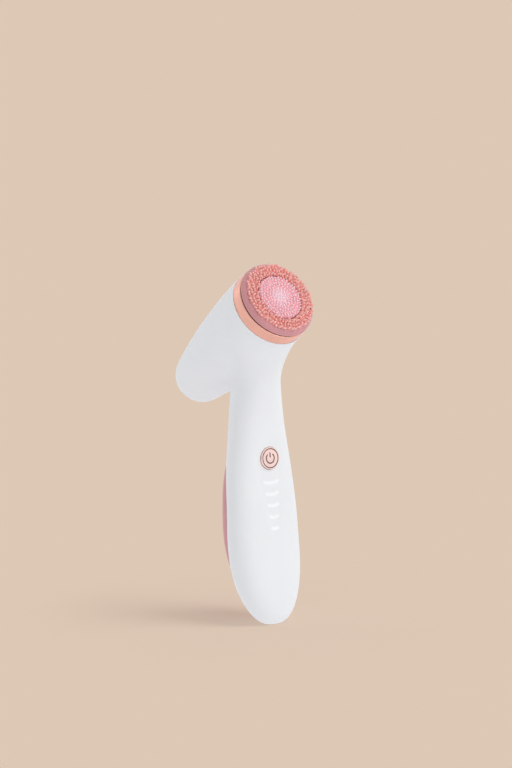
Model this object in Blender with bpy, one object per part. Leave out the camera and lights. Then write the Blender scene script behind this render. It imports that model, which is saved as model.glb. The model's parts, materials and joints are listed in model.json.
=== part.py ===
"""A rechargeable facial cleansing brush: a slim handle that flows into a barrel-shaped head.

The brush sits on the front of the barrel, the button and five light bars on the front of the handle, and
a soft grip cover closes the back of the handle. Blender units are metres, +Z is up and the front faces -Y.
The origin is on the flat foot under the handle. Sizes below are in millimetres; MM turns them into metres.
"""

import math

import bmesh
import bpy
import numpy as np
from mathutils import Matrix, Vector

MM = 0.001
GAP = 0.3  # free space between neighbouring pieces
WALL = 2.2  # housing wall
TURN = 2 * math.pi

# Handle cross-sections: height, half width, half depth, and how far forward of the foot the centre lies.
HANDLE_HEIGHT = [0, 20, 40, 60, 80, 100, 126, 150]
HANDLE_HALF_WIDTH = [17.7, 19.6, 20.7, 20.1, 18.6, 15.55, 12.45, 12.2]
HANDLE_HALF_DEPTH = [11.0, 10.9, 10.6, 10.2, 9.9, 10.2, 11.3, 11.6]
HANDLE_FORWARD = [0, -4.85, -8.2, -10.1, -12.5, -14.2, -15.1, -15.6]
SECTION_POWER = 2.3  # 2 is an ellipse; a larger power is squarer
FOOT_DOME = 36.6  # height over which the bottom of the handle rounds in
FOOT_POWER = 2.4
FOOT_CUT = 0.9  # how much of the round bottom is cut off flat
NECK_TOP = 132.0  # above this the handle closes inside the barrel
NECK_CAP = 24.0

# Barrel: a tapering round body on the brush axis, its open end at HEAD_POINT.
HEAD_POINT = Vector((0, 3.3, 160.9))
HEAD_TILT = math.radians(35.5)  # the brush axis rises this much above level
BARREL_LENGTH = 83.4
BARREL_RADIUS = 21.26
BARREL_TAPER = -0.007
BARREL_CURVE = 0.00149
BARREL_END_START = 71.7
BARREL_END_POWER = 2.42
BLEND_FRONT = 12.4  # size of the fillet between neck and barrel, at the front and at the back
BLEND_BACK = 5.0
BLEND_EDGE = 20.2  # how far back the fillet starts to grow, and over what distance it reaches full size
BLEND_SPAN = 12.4

# Front of the handle: the plane that carries the button and the light bars.
BUTTON_POINT = Vector((0, 2.75, 84.4))
FRONT_TILT = math.radians(6.6)
BUTTON_RADIUS = 5.6
BAR_COUNT = 5
BAR_FIRST = 12.5  # first bar's distance below the button
BAR_STEP = 5.85
BAR_WIDTH = 10.4
BAR_SHRINK = 1.3  # each bar is this much narrower than the one above
BAR_THICK = 1.9
BAR_BEND = 14.0  # radius of the first bar's smile curve
BAR_BEND_SHARE = 0.72  # each bar's radius against the one above
LENS_PROUD = 0.05

# Soft grip cover on the back of the handle.
GRIP_CENTRE = 51.0
GRIP_HALF_WIDTH = 18.5
GRIP_HALF_HEIGHT = 39.2
GRIP_RIM = 0.8
GRIP_BULGE = 5.2
GRIP_FULLNESS = 5.0
GRIP_THICK = 1.8
OPENING_SHARE = 0.76  # size of the housing's rear opening against the cover's outline

# Planetary gears, all on the brush axis.
MODULE = 0.45
SUN_TEETH = 18
PLANET_TEETH = 18
RING_TEETH = 54
PRESSURE_ANGLE = math.radians(20)
BACKLASH = 0.12
PLANETS = 3
GEAR_BACK, GEAR_FRONT = -15.0, -9.4


# ---------------------------------------------------------------- scene and materials


def clear_scene():
    for obj in list(bpy.data.objects):
        bpy.data.objects.remove(obj, do_unlink=True)


def material(name, colour, roughness, metallic=0.0):
    made = bpy.data.materials.new(name)
    made.use_nodes = True
    shader = made.node_tree.nodes["Principled BSDF"]
    shader.inputs["Base Color"].default_value = (*colour, 1.0)
    shader.inputs["Roughness"].default_value = roughness
    shader.inputs["Metallic"].default_value = metallic
    made.diffuse_color = (*colour, 1.0)
    return made


def make_materials():
    return {
        "white": material("white_gloss", (0.86, 0.87, 0.88), 0.28),
        "blush": material("blush_soft_touch", (0.62, 0.30, 0.33), 0.55),
        "rose_gold": material("rose_gold", (0.85, 0.55, 0.44), 0.22, 0.9),
        "mauve": material("mauve_silicone", (0.60, 0.30, 0.33), 0.5),
        "coral": material("coral_silicone", (0.85, 0.36, 0.33), 0.55),
        "pink": material("pale_pink_silicone", (0.93, 0.55, 0.60), 0.5),
        "lens": material("light_bar", (0.97, 0.97, 0.97), 0.35),
        "grey": material("grey_plastic", (0.45, 0.46, 0.48), 0.5),
        "rubber": material("rubber", (0.12, 0.12, 0.13), 0.7),
        "steel": material("steel", (0.60, 0.61, 0.63), 0.3, 1.0),
        "brass": material("brass", (0.75, 0.60, 0.30), 0.35, 1.0),
        "copper": material("copper", (0.72, 0.38, 0.22), 0.35, 1.0),
        "board": material("board_green", (0.05, 0.25, 0.12), 0.5),
        "acetal": material("acetal", (0.85, 0.84, 0.80), 0.4),
        "ferrite": material("ferrite", (0.13, 0.12, 0.12), 0.6),
        "sleeve": material("cell_sleeve", (0.10, 0.25, 0.55), 0.4),
        "red": material("red_wire", (0.60, 0.05, 0.05), 0.5),
        "black": material("black_plastic", (0.03, 0.03, 0.03), 0.5),
    }


# ---------------------------------------------------------------- building blocks


def frame(name, point, about_x):
    """An empty that carries pieces built in its own tilted axes."""
    empty = bpy.data.objects.new(name, None)
    empty.location = Vector(point) * MM
    empty.rotation_euler = (about_x, 0, 0)
    bpy.context.scene.collection.objects.link(empty)
    return empty


def add_object(name, mesh, skin=None, parent=None, helper=False):
    obj = bpy.data.objects.new(name, mesh)
    bpy.context.scene.collection.objects.link(obj)
    obj.parent = parent
    if skin:
        mesh.materials.append(skin)
    if helper:
        obj.hide_render = True
        obj.display_type = "WIRE"
    else:
        mesh.shade_smooth()
        mesh.set_sharp_from_angle(angle=math.radians(35))
    return obj


def mesh_from(name, points, faces):
    """A mesh from points in millimetres, its faces turned outwards."""
    mesh = bpy.data.meshes.new(name)
    mesh.from_pydata([tuple(float(c) * MM for c in p) for p in points], [], faces)
    bm = bmesh.new()
    bm.from_mesh(mesh)
    bmesh.ops.recalc_face_normals(bm, faces=bm.faces)
    bm.to_mesh(mesh)
    bm.free()
    return mesh


def revolve(name, profile, segments=28, **options):
    """Spins a closed (radius, height) outline about the local Z axis."""
    bm = bmesh.new()
    verts = [bm.verts.new((r * MM, 0, z * MM)) for r, z in profile]
    edges = [bm.edges.new((a, b)) for a, b in zip(verts, verts[1:] + verts[:1])]
    bmesh.ops.spin(
        bm, geom=verts + edges, axis=(0, 0, 1), cent=(0, 0, 0), steps=segments, angle=TURN, use_merge=True
    )
    bmesh.ops.remove_doubles(bm, verts=bm.verts, dist=1e-6)
    bmesh.ops.dissolve_degenerate(bm, edges=bm.edges, dist=1e-7)
    bmesh.ops.recalc_face_normals(bm, faces=bm.faces)
    mesh = bpy.data.meshes.new(name)
    bm.to_mesh(mesh)
    bm.free()
    return add_object(name, mesh, **options)


def tube(inner, outer, low, high):
    """The outline of a plain ring, or of a rod when inner is 0."""
    return [(inner, low), (outer, low), (outer, high), (inner, high)]


def prism(name, outline, low, high, **options):
    """Extrudes a closed (x, y) outline from height low to height high."""
    count = len(outline)
    points = [(x, y, z) for z in (low, high) for x, y in outline]
    faces = [tuple(range(count - 1, -1, -1)), tuple(range(count, 2 * count))]
    faces += [(i, (i + 1) % count, count + (i + 1) % count, count + i) for i in range(count)]
    return add_object(name, mesh_from(name, points, faces), **options)


def ring_prism(name, inner, outer, low, high, **options):
    """A ring between two closed outlines of the same number of points."""
    count = len(inner)
    points = [(x, y, z) for z in (low, high) for outline in (inner, outer) for x, y in outline]
    faces = []
    for i in range(count):
        j = (i + 1) % count
        inner_low, outer_low, inner_high, outer_high = (k * count for k in range(4))
        faces.append((inner_low + i, inner_low + j, outer_low + j, outer_low + i))
        faces.append((inner_high + i, outer_high + i, outer_high + j, inner_high + j))
        faces.append((inner_low + i, inner_high + i, inner_high + j, inner_low + j))
        faces.append((outer_low + i, outer_low + j, outer_high + j, outer_high + i))
    return add_object(name, mesh_from(name, points, faces), **options)


def box(name, low, high, **options):
    """A block between two corners."""
    outline = [(low[0], low[1]), (high[0], low[1]), (high[0], high[1]), (low[0], high[1])]
    return prism(name, outline, low[2], high[2], **options)


def circle(radius, count, centre=(0, 0), start=0.0):
    angles = [start + TURN * i / count for i in range(count)]
    return [(centre[0] + radius * math.cos(a), centre[1] + radius * math.sin(a)) for a in angles]


def arc(radius, first, last, count):
    angles = np.linspace(first, last, count)
    return [(radius * math.cos(a), radius * math.sin(a)) for a in angles]


def boolean(target, cutter, operation="DIFFERENCE"):
    modifier = target.modifiers.new(cutter.name, "BOOLEAN")
    modifier.operation = operation
    modifier.object = cutter
    modifier.solver = "EXACT"


def lay_flat(obj, where=(0, 0, 0)):
    """Turns a piece built about Z so that it looks inwards through the handle's front."""
    obj.rotation_euler = (-math.pi / 2, 0, 0)
    obj.location = Vector(where) * MM
    return obj


def wire(name, points, radius, skin):
    """A round lead along a smooth curve, kept as a mesh."""
    curve = bpy.data.curves.new(name, "CURVE")
    curve.dimensions = "3D"
    curve.bevel_depth = radius * MM
    curve.bevel_resolution = 1
    curve.resolution_u = 3
    curve.use_fill_caps = True
    spline = curve.splines.new("BEZIER")
    spline.bezier_points.add(len(points) - 1)
    for knot, point in zip(spline.bezier_points, points):
        knot.co = Vector(point) * MM
        knot.handle_left_type = knot.handle_right_type = "AUTO"
    guide = bpy.data.objects.new(name + "_path", curve)
    bpy.context.scene.collection.objects.link(guide)
    bpy.context.view_layer.update()
    mesh = bpy.data.meshes.new_from_object(guide)
    bpy.data.objects.remove(guide)
    mesh.materials.clear()
    return add_object(name, mesh, skin=skin)


# ---------------------------------------------------------------- the shape of the body


def through(x, knots, values):
    """A smooth curve through the given values."""
    knots, values = np.asarray(knots, float), np.asarray(values, float)
    slopes = np.gradient(values, knots)
    i = np.clip(np.searchsorted(knots, x) - 1, 0, len(knots) - 2)
    step = knots[i + 1] - knots[i]
    t = np.clip((x - knots[i]) / step, 0, 1)
    return (
        values[i] * (2 * t**3 - 3 * t**2 + 1)
        + values[i + 1] * (3 * t**2 - 2 * t**3)
        + slopes[i] * step * (t**3 - 2 * t**2 + t)
        + slopes[i + 1] * step * (t**3 - t**2)
    )


def handle_section(z):
    return (
        through(z, HANDLE_HEIGHT, HANDLE_HALF_WIDTH),
        through(z, HANDLE_HEIGHT, HANDLE_HALF_DEPTH),
        through(z, HANDLE_HEIGHT, HANDLE_FORWARD),
    )


def handle_level(p):
    """0 on the handle's surface, negative inside. Its round foot starts FOOT_CUT below the origin."""
    z = p[:, 2] + FOOT_CUT
    half_width, half_depth, forward = handle_section(z)
    across = np.abs(p[:, 0] / half_width) ** SECTION_POWER
    along = np.abs((p[:, 1] + forward) / half_depth) ** SECTION_POWER
    section = (across + along) ** (1 / SECTION_POWER)
    foot = np.clip((FOOT_DOME - z) / FOOT_DOME, 0, None)
    cap = np.clip((z - NECK_TOP) / NECK_CAP, 0, None)
    return (section**FOOT_POWER + foot**FOOT_POWER + cap**FOOT_POWER) ** (1 / FOOT_POWER) - 1


BRUSH_AXIS = Vector((0, -math.cos(HEAD_TILT), math.sin(HEAD_TILT)))
BARREL_DOWN = Vector((0, -math.sin(HEAD_TILT), -math.cos(HEAD_TILT)))


def barrel_radius(s):
    return BARREL_RADIUS - BARREL_TAPER * s - BARREL_CURVE * s * s


def barrel_level(p):
    """0 on the barrel's surface, negative inside. It runs on past the barrel's open front."""
    offset = p - np.array(HEAD_POINT)
    s = -offset @ np.array(BRUSH_AXIS)
    below = offset @ np.array(BARREL_DOWN)
    section = np.hypot(offset[:, 0], below) / barrel_radius(np.clip(s, 0, BARREL_LENGTH))
    end = np.clip((s - BARREL_END_START) / (BARREL_LENGTH - BARREL_END_START), 0, None)
    return (section**BARREL_END_POWER + end**BARREL_END_POWER) ** (1 / BARREL_END_POWER) - 1


def slope(level, p, step=0.02):
    shifts = np.eye(3) * step
    return np.stack([(level(p + d) - level(p - d)) / (2 * step) for d in shifts], axis=1)


def distance(level, p):
    """A level made into millimetres from the surface."""
    return level(p) / np.linalg.norm(slope(level, p), axis=1)


def body_distance(p):
    """Distance outside the body: handle and barrel joined by a fillet that is larger at the front."""
    handle = distance(handle_level, p)
    barrel = distance(barrel_level, p)
    front = np.clip((BLEND_EDGE - p[:, 1]) / BLEND_SPAN, 0, 1)
    blend = BLEND_BACK + (BLEND_FRONT - BLEND_BACK) * front * front * (3 - 2 * front)
    h = np.clip(0.5 + 0.5 * (barrel - handle) / blend, 0, 1)
    return barrel + (handle - barrel) * h - blend * h * (1 - h)


def settle(p, depth, rounds=4):
    """Moves points straight onto the surface that lies depth inside the body."""
    for _ in range(rounds):
        normal = slope(body_distance, p)
        length = np.linalg.norm(normal, axis=1, keepdims=True)
        p = p - normal / length**2 * (body_distance(p) + depth)[:, None]
    return p


class Grid:
    """Points filed under keys, and the faces between them."""

    def __init__(self):
        self.points, self.index, self.faces = [], {}, []

    def add(self, key, point):
        self.index[key] = len(self.points)
        self.points.append(point)

    def face(self, *keys):
        self.faces.append([self.index[key] for key in keys])


PATCH_START, PATCH_END = 9.0, 50.0  # where the neck's patch in the barrel starts and ends, back from the rim


def barrel_rows(front, fine):
    """How far back each row of the barrel lies, and the first and last row of the neck's patch."""
    start = np.linspace(0, PATCH_START, 1 + fine)[:-1].tolist()
    if front:
        start = [-front] + start
    patch = np.linspace(PATCH_START, PATCH_END, 6 * fine + 1)
    tail = np.sin(np.linspace(0, math.pi / 2, 8 * fine)[1:])
    rows = np.concatenate([start, patch, PATCH_END + (BARREL_LENGTH - PATCH_END - 0.4) * tail])
    return rows.tolist(), len(start), len(start) + 6 * fine


def centred(j, columns):
    """The column's number counted from the middle of the patch, negative on one side."""
    return (j + columns // 2) % columns - columns // 2


def add_barrel_points(grid, rows, first, last, columns, half_patch, depth):
    for i, s in enumerate(rows):
        end = min(max((s - BARREL_END_START) / (BARREL_LENGTH - BARREL_END_START), 0.0), 0.995)
        radius = barrel_radius(max(s, 0)) * (1 - end**BARREL_END_POWER) ** (1 / BARREL_END_POWER) - depth
        for j in range(columns):
            offset = centred(j, columns)
            if first < i < last and -half_patch < offset < half_patch:
                continue
            angle = TURN * offset / columns
            around = math.cos(angle) * BARREL_DOWN + math.sin(angle) * Vector((1, 0, 0))
            grid.add(("barrel", i, j), HEAD_POINT - s * BRUSH_AXIS + max(radius, 1.0) * around)
    grid.add("end", HEAD_POINT - (BARREL_LENGTH - depth) * BRUSH_AXIS)


def add_barrel_faces(grid, rows, first, last, columns, half_patch):
    for i in range(len(rows) - 1):
        for j in range(columns):
            if first <= i < last and -half_patch <= centred(j, columns) < half_patch:
                continue
            corners = [(i, j), (i, (j + 1) % columns), (i + 1, (j + 1) % columns), (i + 1, j)]
            grid.face(*[("barrel", *corner) for corner in corners])
    tail = len(rows) - 1
    for j in range(columns):
        grid.face(("barrel", tail, j), ("barrel", tail, (j + 1) % columns), "end")


def patch_edge(first, last, half_patch):
    """(row, column) of each point round the edge of the patch, from the middle of its front row."""
    edge = [(first, j) for j in range(half_patch + 1)]
    edge += [(i, half_patch) for i in range(first + 1, last + 1)]
    edge += [(last, j) for j in range(half_patch - 1, -half_patch - 1, -1)]
    edge += [(i, -half_patch) for i in range(last - 1, first - 1, -1)]
    return edge + [(first, j) for j in range(-half_patch + 1, 0)]


def add_handle_points(grid, count, depth, fine):
    """Rows of count points down the handle; returns how many rows there are."""
    upper = np.linspace(114, 32, 8 * fine)
    lower = 30 * (1 - np.linspace(0, 1, 6 * fine + 1)[1:-1]) ** 1.6
    heights = np.concatenate([upper, lower]).tolist()
    for k, z in enumerate(heights):
        half_width, half_depth, forward = (float(v) for v in handle_section(z))
        foot = max(1 - max(0.0, (FOOT_DOME - z) / FOOT_DOME) ** FOOT_POWER, 0.02) ** (1 / FOOT_POWER)
        for j in range(count):
            angle = TURN * j / count
            x = half_width * foot * math.sin(angle)
            grid.add(("handle", k, j), Vector((x, -(forward + half_depth * foot * math.cos(angle)), z)))
    grid.add("foot", Vector((0, -float(handle_section(0)[2]), depth - FOOT_CUT)))
    return len(heights)


def add_neck(grid, loop, handle_rows, steps):
    """Joins the barrel's open patch edge to the handle's rows, and the handle's last row to the foot."""
    count = len(loop)
    for step in range(1, steps):
        for j, key in enumerate(loop):
            above, below = grid.points[grid.index[key]], grid.points[grid.index[("handle", 0, j)]]
            grid.add(("neck", step, j), above.lerp(below, step / steps))
    loops = [loop]
    loops += [[("neck", step, j) for j in range(count)] for step in range(1, steps)]
    loops += [[("handle", k, j) for j in range(count)] for k in range(handle_rows)]
    for upper, lower in zip(loops, loops[1:]):
        for j in range(count):
            j2 = (j + 1) % count
            grid.face(upper[j], upper[j2], lower[j2], lower[j])
    for j in range(count):
        grid.face(loops[-1][j], loops[-1][(j + 1) % count], "foot")


def body_grid(depth, front, fine=1):
    """Points and faces of the whole body, depth inside its surface, open end front millimetres past the rim.

    The barrel is a grid of rows and columns with a patch left out underneath, and the edge of that patch is
    joined to the handle's rows, which have the same number of points. The last face closes the open end.
    """
    columns, half_patch = 24 * fine, 3 * fine
    rows, first, last = barrel_rows(front, fine)
    grid = Grid()
    add_barrel_points(grid, rows, first, last, columns, half_patch, depth)
    loop = [("barrel", i, j % columns) for i, j in patch_edge(first, last, half_patch)]
    handle_rows = add_handle_points(grid, len(loop), depth, fine)
    add_barrel_faces(grid, rows, first, last, columns, half_patch)
    add_neck(grid, loop, handle_rows, 4 * fine)
    rim = [grid.index[("barrel", 0, j)] for j in range(columns)]
    points = np.array([tuple(p) for p in grid.points])
    points = relax(points, grid.faces, rim, depth, 12 * fine)
    grid.faces.append(rim)
    return points, grid.faces


def relax(points, faces, pinned, depth, rounds):
    """Evens out the grid and keeps it on the surface; the rim stays where it is."""
    ends = {(a, b) for face in faces for a, b in zip(face, face[1:] + face[:1])}
    ends |= {(b, a) for a, b in ends}
    first, second = np.array(sorted(ends)).T
    degree = np.bincount(first, minlength=len(points))[:, None]
    free = np.ones(len(points), bool)
    free[pinned] = False
    points[free] = settle(points[free], depth)
    for _ in range(rounds):
        total = np.zeros_like(points)
        np.add.at(total, first, points[second])
        points[free] = (points + (total / degree - points) * 0.5)[free]
        points[free] = settle(points[free], depth, 1)
    points[free] = settle(points[free], depth)
    return points


def back_surface(places):
    """Y of the body's back surface at each (x, z) place."""
    x, z = np.array(places, float).T
    _, half_depth, forward = handle_section(z)
    p = np.stack([x, half_depth - forward, z], axis=1)
    for _ in range(8):
        steepness = np.maximum(slope(body_distance, p)[:, 1], 0.2)
        p[:, 1] -= body_distance(p) / steepness
    return p[:, 1].tolist()


FRONT_AXES = Matrix.Rotation(-FRONT_TILT - math.pi / 2, 3, "X")


def front_depth(places, lift):
    """Depth behind the front plane of the body's surface, raised by lift, at each (x, drop) place."""
    start = np.array([tuple(BUTTON_POINT + FRONT_AXES @ Vector((x, y, 0))) for x, y in places])
    inward = np.array(FRONT_AXES.col[2])
    depth = np.zeros(len(start))
    for _ in range(8):
        p = start + depth[:, None] * inward
        depth -= (body_distance(p) - lift) / (slope(body_distance, p) @ inward)
    return depth.tolist()


# ---------------------------------------------------------------- gears


def involute(angle):
    return math.tan(angle) - angle


def gear_outline(teeth, low, high, play, turned=0.0):
    """A gear's outline, or the toothed hole of a ring gear when low and high are its tips and roots."""
    pitch = MODULE * teeth / 2
    base = pitch * math.cos(PRESSURE_ANGLE)
    half_at_pitch = math.pi / (2 * teeth) + play / (2 * pitch)
    outline = []
    for tooth in range(teeth):
        centre = turned + TURN * tooth / teeth
        flank = []
        for radius in (low, high):
            pressure = math.acos(min(1.0, base / radius))
            flank.append((radius, half_at_pitch + involute(PRESSURE_ANGLE) - involute(pressure)))
        for radius, half in flank:
            outline.append((radius * math.cos(centre - half), radius * math.sin(centre - half)))
        for radius, half in reversed(flank):
            outline.append((radius * math.cos(centre + half), radius * math.sin(centre + half)))
    return outline


def spur_gear(name, teeth, bore, turned, **options):
    pitch = MODULE * teeth / 2
    outline = gear_outline(teeth, pitch - 1.15 * MODULE, pitch + 0.92 * MODULE, -BACKLASH, turned)
    gear = prism(name, outline, GEAR_BACK, GEAR_FRONT, **options)
    hole = prism(name + "_bore", circle(bore, 14), GEAR_BACK - 1, GEAR_FRONT + 1, helper=True)
    hole.parent = gear
    boolean(gear, hole)
    return gear


# ---------------------------------------------------------------- pieces of the body


def flat_cutter(name, outline, low, high, parent):
    return lay_flat(prism(name, outline, low, high, parent=parent, helper=True))


def bar_outline(bar, grow=0.0):
    """A light bar's outline in the front plane: a short arc with round ends, sagging in the middle."""
    bend = BAR_BEND * BAR_BEND_SHARE**bar
    half = (BAR_WIDTH - BAR_SHRINK * bar - BAR_THICK) / 2 / bend
    radius = BAR_THICK / 2 + grow
    outline = []
    for side in (1, -1):
        reach = bend + side * radius
        outline += [(reach * math.sin(a), reach * math.cos(a)) for a in np.linspace(-half, half, 5)[::side]]
        tip = side * half
        for turn in (45, 90, 135):
            way = tip + math.radians(turn if side == 1 else turn + 180)
            outline.append(
                (
                    bend * math.sin(tip) + radius * math.sin(way),
                    bend * math.cos(tip) + radius * math.cos(way),
                )
            )
    drop = BAR_FIRST + BAR_STEP * bar
    return [(x, y - bend + drop) for x, y in outline]


def bar_lens(bar, front):
    """One bar: its front face lies on the body's surface and its back reaches into the light pipe."""
    outline = bar_outline(bar)
    count = len(outline)
    top = front_depth(outline, LENS_PROUD)
    points = [(x, y, z) for (x, y), z in zip(outline, top)] + [(x, y, 4.2) for x, y in outline]
    faces = [(i, i + 1, 11 - i, 12 - i) for i in range(4)] + [(4, 5, 6, 7, 8), (12, 13, 14, 15, 0)]
    faces += [tuple(range(2 * count - 1, count - 1, -1))]
    faces += [(i, (i + 1) % count, count + (i + 1) % count, count + i) for i in range(count)]
    name = f"bar_{bar}"
    return lay_flat(add_object(name, mesh_from(name, points, faces), parent=front, helper=True))


def grip_outline(share, count):
    """Points of the grip cover's outline, scaled by share: an upright oval."""
    return [
        (
            share * GRIP_HALF_WIDTH * math.sin(TURN * k / count),
            GRIP_CENTRE + share * GRIP_HALF_HEIGHT * math.cos(TURN * k / count),
        )
        for k in range(count)
    ]


def make_housing(skins, front):
    points, faces = body_grid(0.0, 0.0)
    housing = add_object("main_housing", mesh_from("main_housing", points, faces), skin=skins["white"])
    points, faces = body_grid(WALL, 8.0)
    hollow = add_object("housing_hollow", mesh_from("housing_hollow", points, faces), helper=True)
    boolean(housing, hollow)
    boolean(housing, box("foot_cutter", (-25, -25, -10), (25, 25, 0), helper=True))
    seat = prism("coil_seat", [(4 * x, 2 * y) for x, y in circle(1, 16)], 1.0, 7.9, helper=True)
    seat.location = Vector((0, -float(handle_section(9.0)[2]), 0)) * MM
    boolean(housing, seat, "UNION")

    bosses = bpy.data.objects.new("boss_frame", None)
    bpy.context.scene.collection.objects.link(bosses)
    bosses.parent = front
    for number, (x, z) in enumerate(boss_places()):
        boss = prism(f"boss_{number}", circle(2.2, 12, (x, -z)), 3.5, 8.3, parent=bosses, helper=True)
        boolean(housing, lay_flat(boss), "UNION")
        pilot = prism(f"pilot_{number}", circle(1.15, 12, (x, -z)), 4.6, 9.0, parent=bosses, helper=True)
        boolean(housing, lay_flat(pilot))

    hole = flat_cutter("button_hole", circle(BUTTON_RADIUS + GAP, 32), -6, 5, front)
    boolean(housing, hole)
    for bar in range(BAR_COUNT):
        boolean(housing, flat_cutter(f"bar_window_{bar}", bar_outline(bar, 0.2), -6, 5, front))
    rear = prism("rear_opening", grip_outline(OPENING_SHARE, 32), -40.0, -9.0, helper=True)
    rear.rotation_euler = (math.pi / 2, 0, 0)
    boolean(housing, rear)
    return housing


def boss_places():
    return [(x, z) for z in (-8.0, -46.0) for x in (-11.6, 11.6)]


def make_grip_cover(skins):
    """A domed cover whose inner skirt drops into the housing's rear opening."""
    rings = [0.25, 0.46, 0.60, 0.66, 0.67, 0.72, 0.725, 0.82, 0.92, 1.0]
    count = 32
    outer, inner = [], []
    for share in rings:
        places = grip_outline(share, count)
        for (x, z), surface in zip(places, back_surface(places)):
            back = surface + GAP
            top = back + GRIP_RIM + GRIP_BULGE * math.sqrt(max(0.0, 1 - share**GRIP_FULLNESS))
            outer.append((x, top, z))
            if share < 0.665:
                low = top - GRIP_THICK
            elif share < 0.723:
                low = back - 3.0
            else:
                low = back
            inner.append((x, low, z))
    centre_back = back_surface([(0, GRIP_CENTRE)])[0] + GAP
    crown = (0, centre_back + GRIP_RIM + GRIP_BULGE, GRIP_CENTRE)
    ceiling = (0, centre_back + GRIP_RIM + GRIP_BULGE - GRIP_THICK, GRIP_CENTRE)
    points = outer + inner + [crown, ceiling]
    size = len(outer)
    faces = []
    for side in (0, size):
        for i in range(len(rings) - 1):
            for j in range(count):
                j2 = (j + 1) % count
                a, b = side + i * count, side + (i + 1) * count
                faces.append((a + j, a + j2, b + j2, b + j))
        pole = 2 * size + (1 if side else 0)
        faces += [(side + j, side + (j + 1) % count, pole) for j in range(count)]
    rim = (len(rings) - 1) * count
    faces += [
        (rim + j, rim + (j + 1) % count, size + rim + (j + 1) % count, size + rim + j) for j in range(count)
    ]
    return add_object("rear_grip_cover", mesh_from("rear_grip_cover", points, faces), skin=skins["blush"])


def make_grip_seal(skins):
    """A soft gasket that lines the rear opening, between the housing's edge and the cover's skirt."""
    count = 32
    points = []
    for share, lift in ((0.733, 0.0), (0.752, 0.0), (0.752, -2.0), (0.733, -2.0)):
        places = grip_outline(share, count)
        points += [(x, y + lift, z) for (x, z), y in zip(places, back_surface(places))]
    faces = [
        (
            k * count + j,
            k * count + (j + 1) % count,
            (k + 1) % 4 * count + (j + 1) % count,
            (k + 1) % 4 * count + j,
        )
        for k in range(4)
        for j in range(count)
    ]
    return add_object("rear_cover_seal", mesh_from("rear_cover_seal", points, faces), skin=skins["rubber"])


# ---------------------------------------------------------------- pieces behind the handle's front


def make_button(skins, front):
    button = revolve(
        "power_button",
        [
            (0, -0.2), (4.4, -0.15), (5.2, 0.0), (BUTTON_RADIUS, 0.35), (BUTTON_RADIUS, 3.5), (6.9, 3.5),
            (6.9, 4.1), (1.5, 4.1), (1.5, 4.5), (0, 4.5),
        ],
        32,
        skin=skins["rose_gold"],
        parent=front,
    )
    lay_flat(button)
    lay_flat(revolve("button_seal", tube(7.3, 8.7, 3.6, 4.4), 28, skin=skins["rubber"], parent=front))
    lay_flat(revolve("switch_plunger", tube(0, 1.6, 4.8, 5.9), 16, skin=skins["black"], parent=front))
    switch = box("tact_switch", (-3.1, -3.1, 5.2), (3.1, 3.1, 6.8), skin=skins["black"], parent=front)
    lay_flat(switch)
    well = lay_flat(prism("switch_well", circle(1.9, 16), 5.0, 6.5, parent=front, helper=True))
    boolean(switch, well)


def make_lights(skins, front):
    """One clear moulding with five bars that show through the housing, and an LED behind each bar."""
    low, high = BAR_FIRST - 2.4, BAR_FIRST + BAR_STEP * (BAR_COUNT - 1) + 3.0
    pipe = box("light_pipe", (-6.4, low, 3.7), (6.4, high, 4.9), skin=skins["lens"], parent=front)
    lay_flat(pipe)
    for bar in range(BAR_COUNT):
        boolean(pipe, bar_lens(bar, front), "UNION")
        drop = BAR_FIRST + BAR_STEP * bar
        low_corner, high_corner = (-1.75, drop - 0.9, 5.5), (1.75, drop + 0.9, 6.6)
        lamp = box(f"led_{bar + 1}", low_corner, high_corner, skin=skins["lens"], parent=front)
        lay_flat(lamp)


def make_electronics(skins, front):
    lay_flat(box("circuit_board", (-8.8, -13, 7.0), (8.8, 43, 8.2), skin=skins["board"], parent=front))
    lay_flat(box("wire_socket", (-4.0, -12.4, 4.6), (4.0, -8.4, 6.7), skin=skins["acetal"], parent=front))


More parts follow.
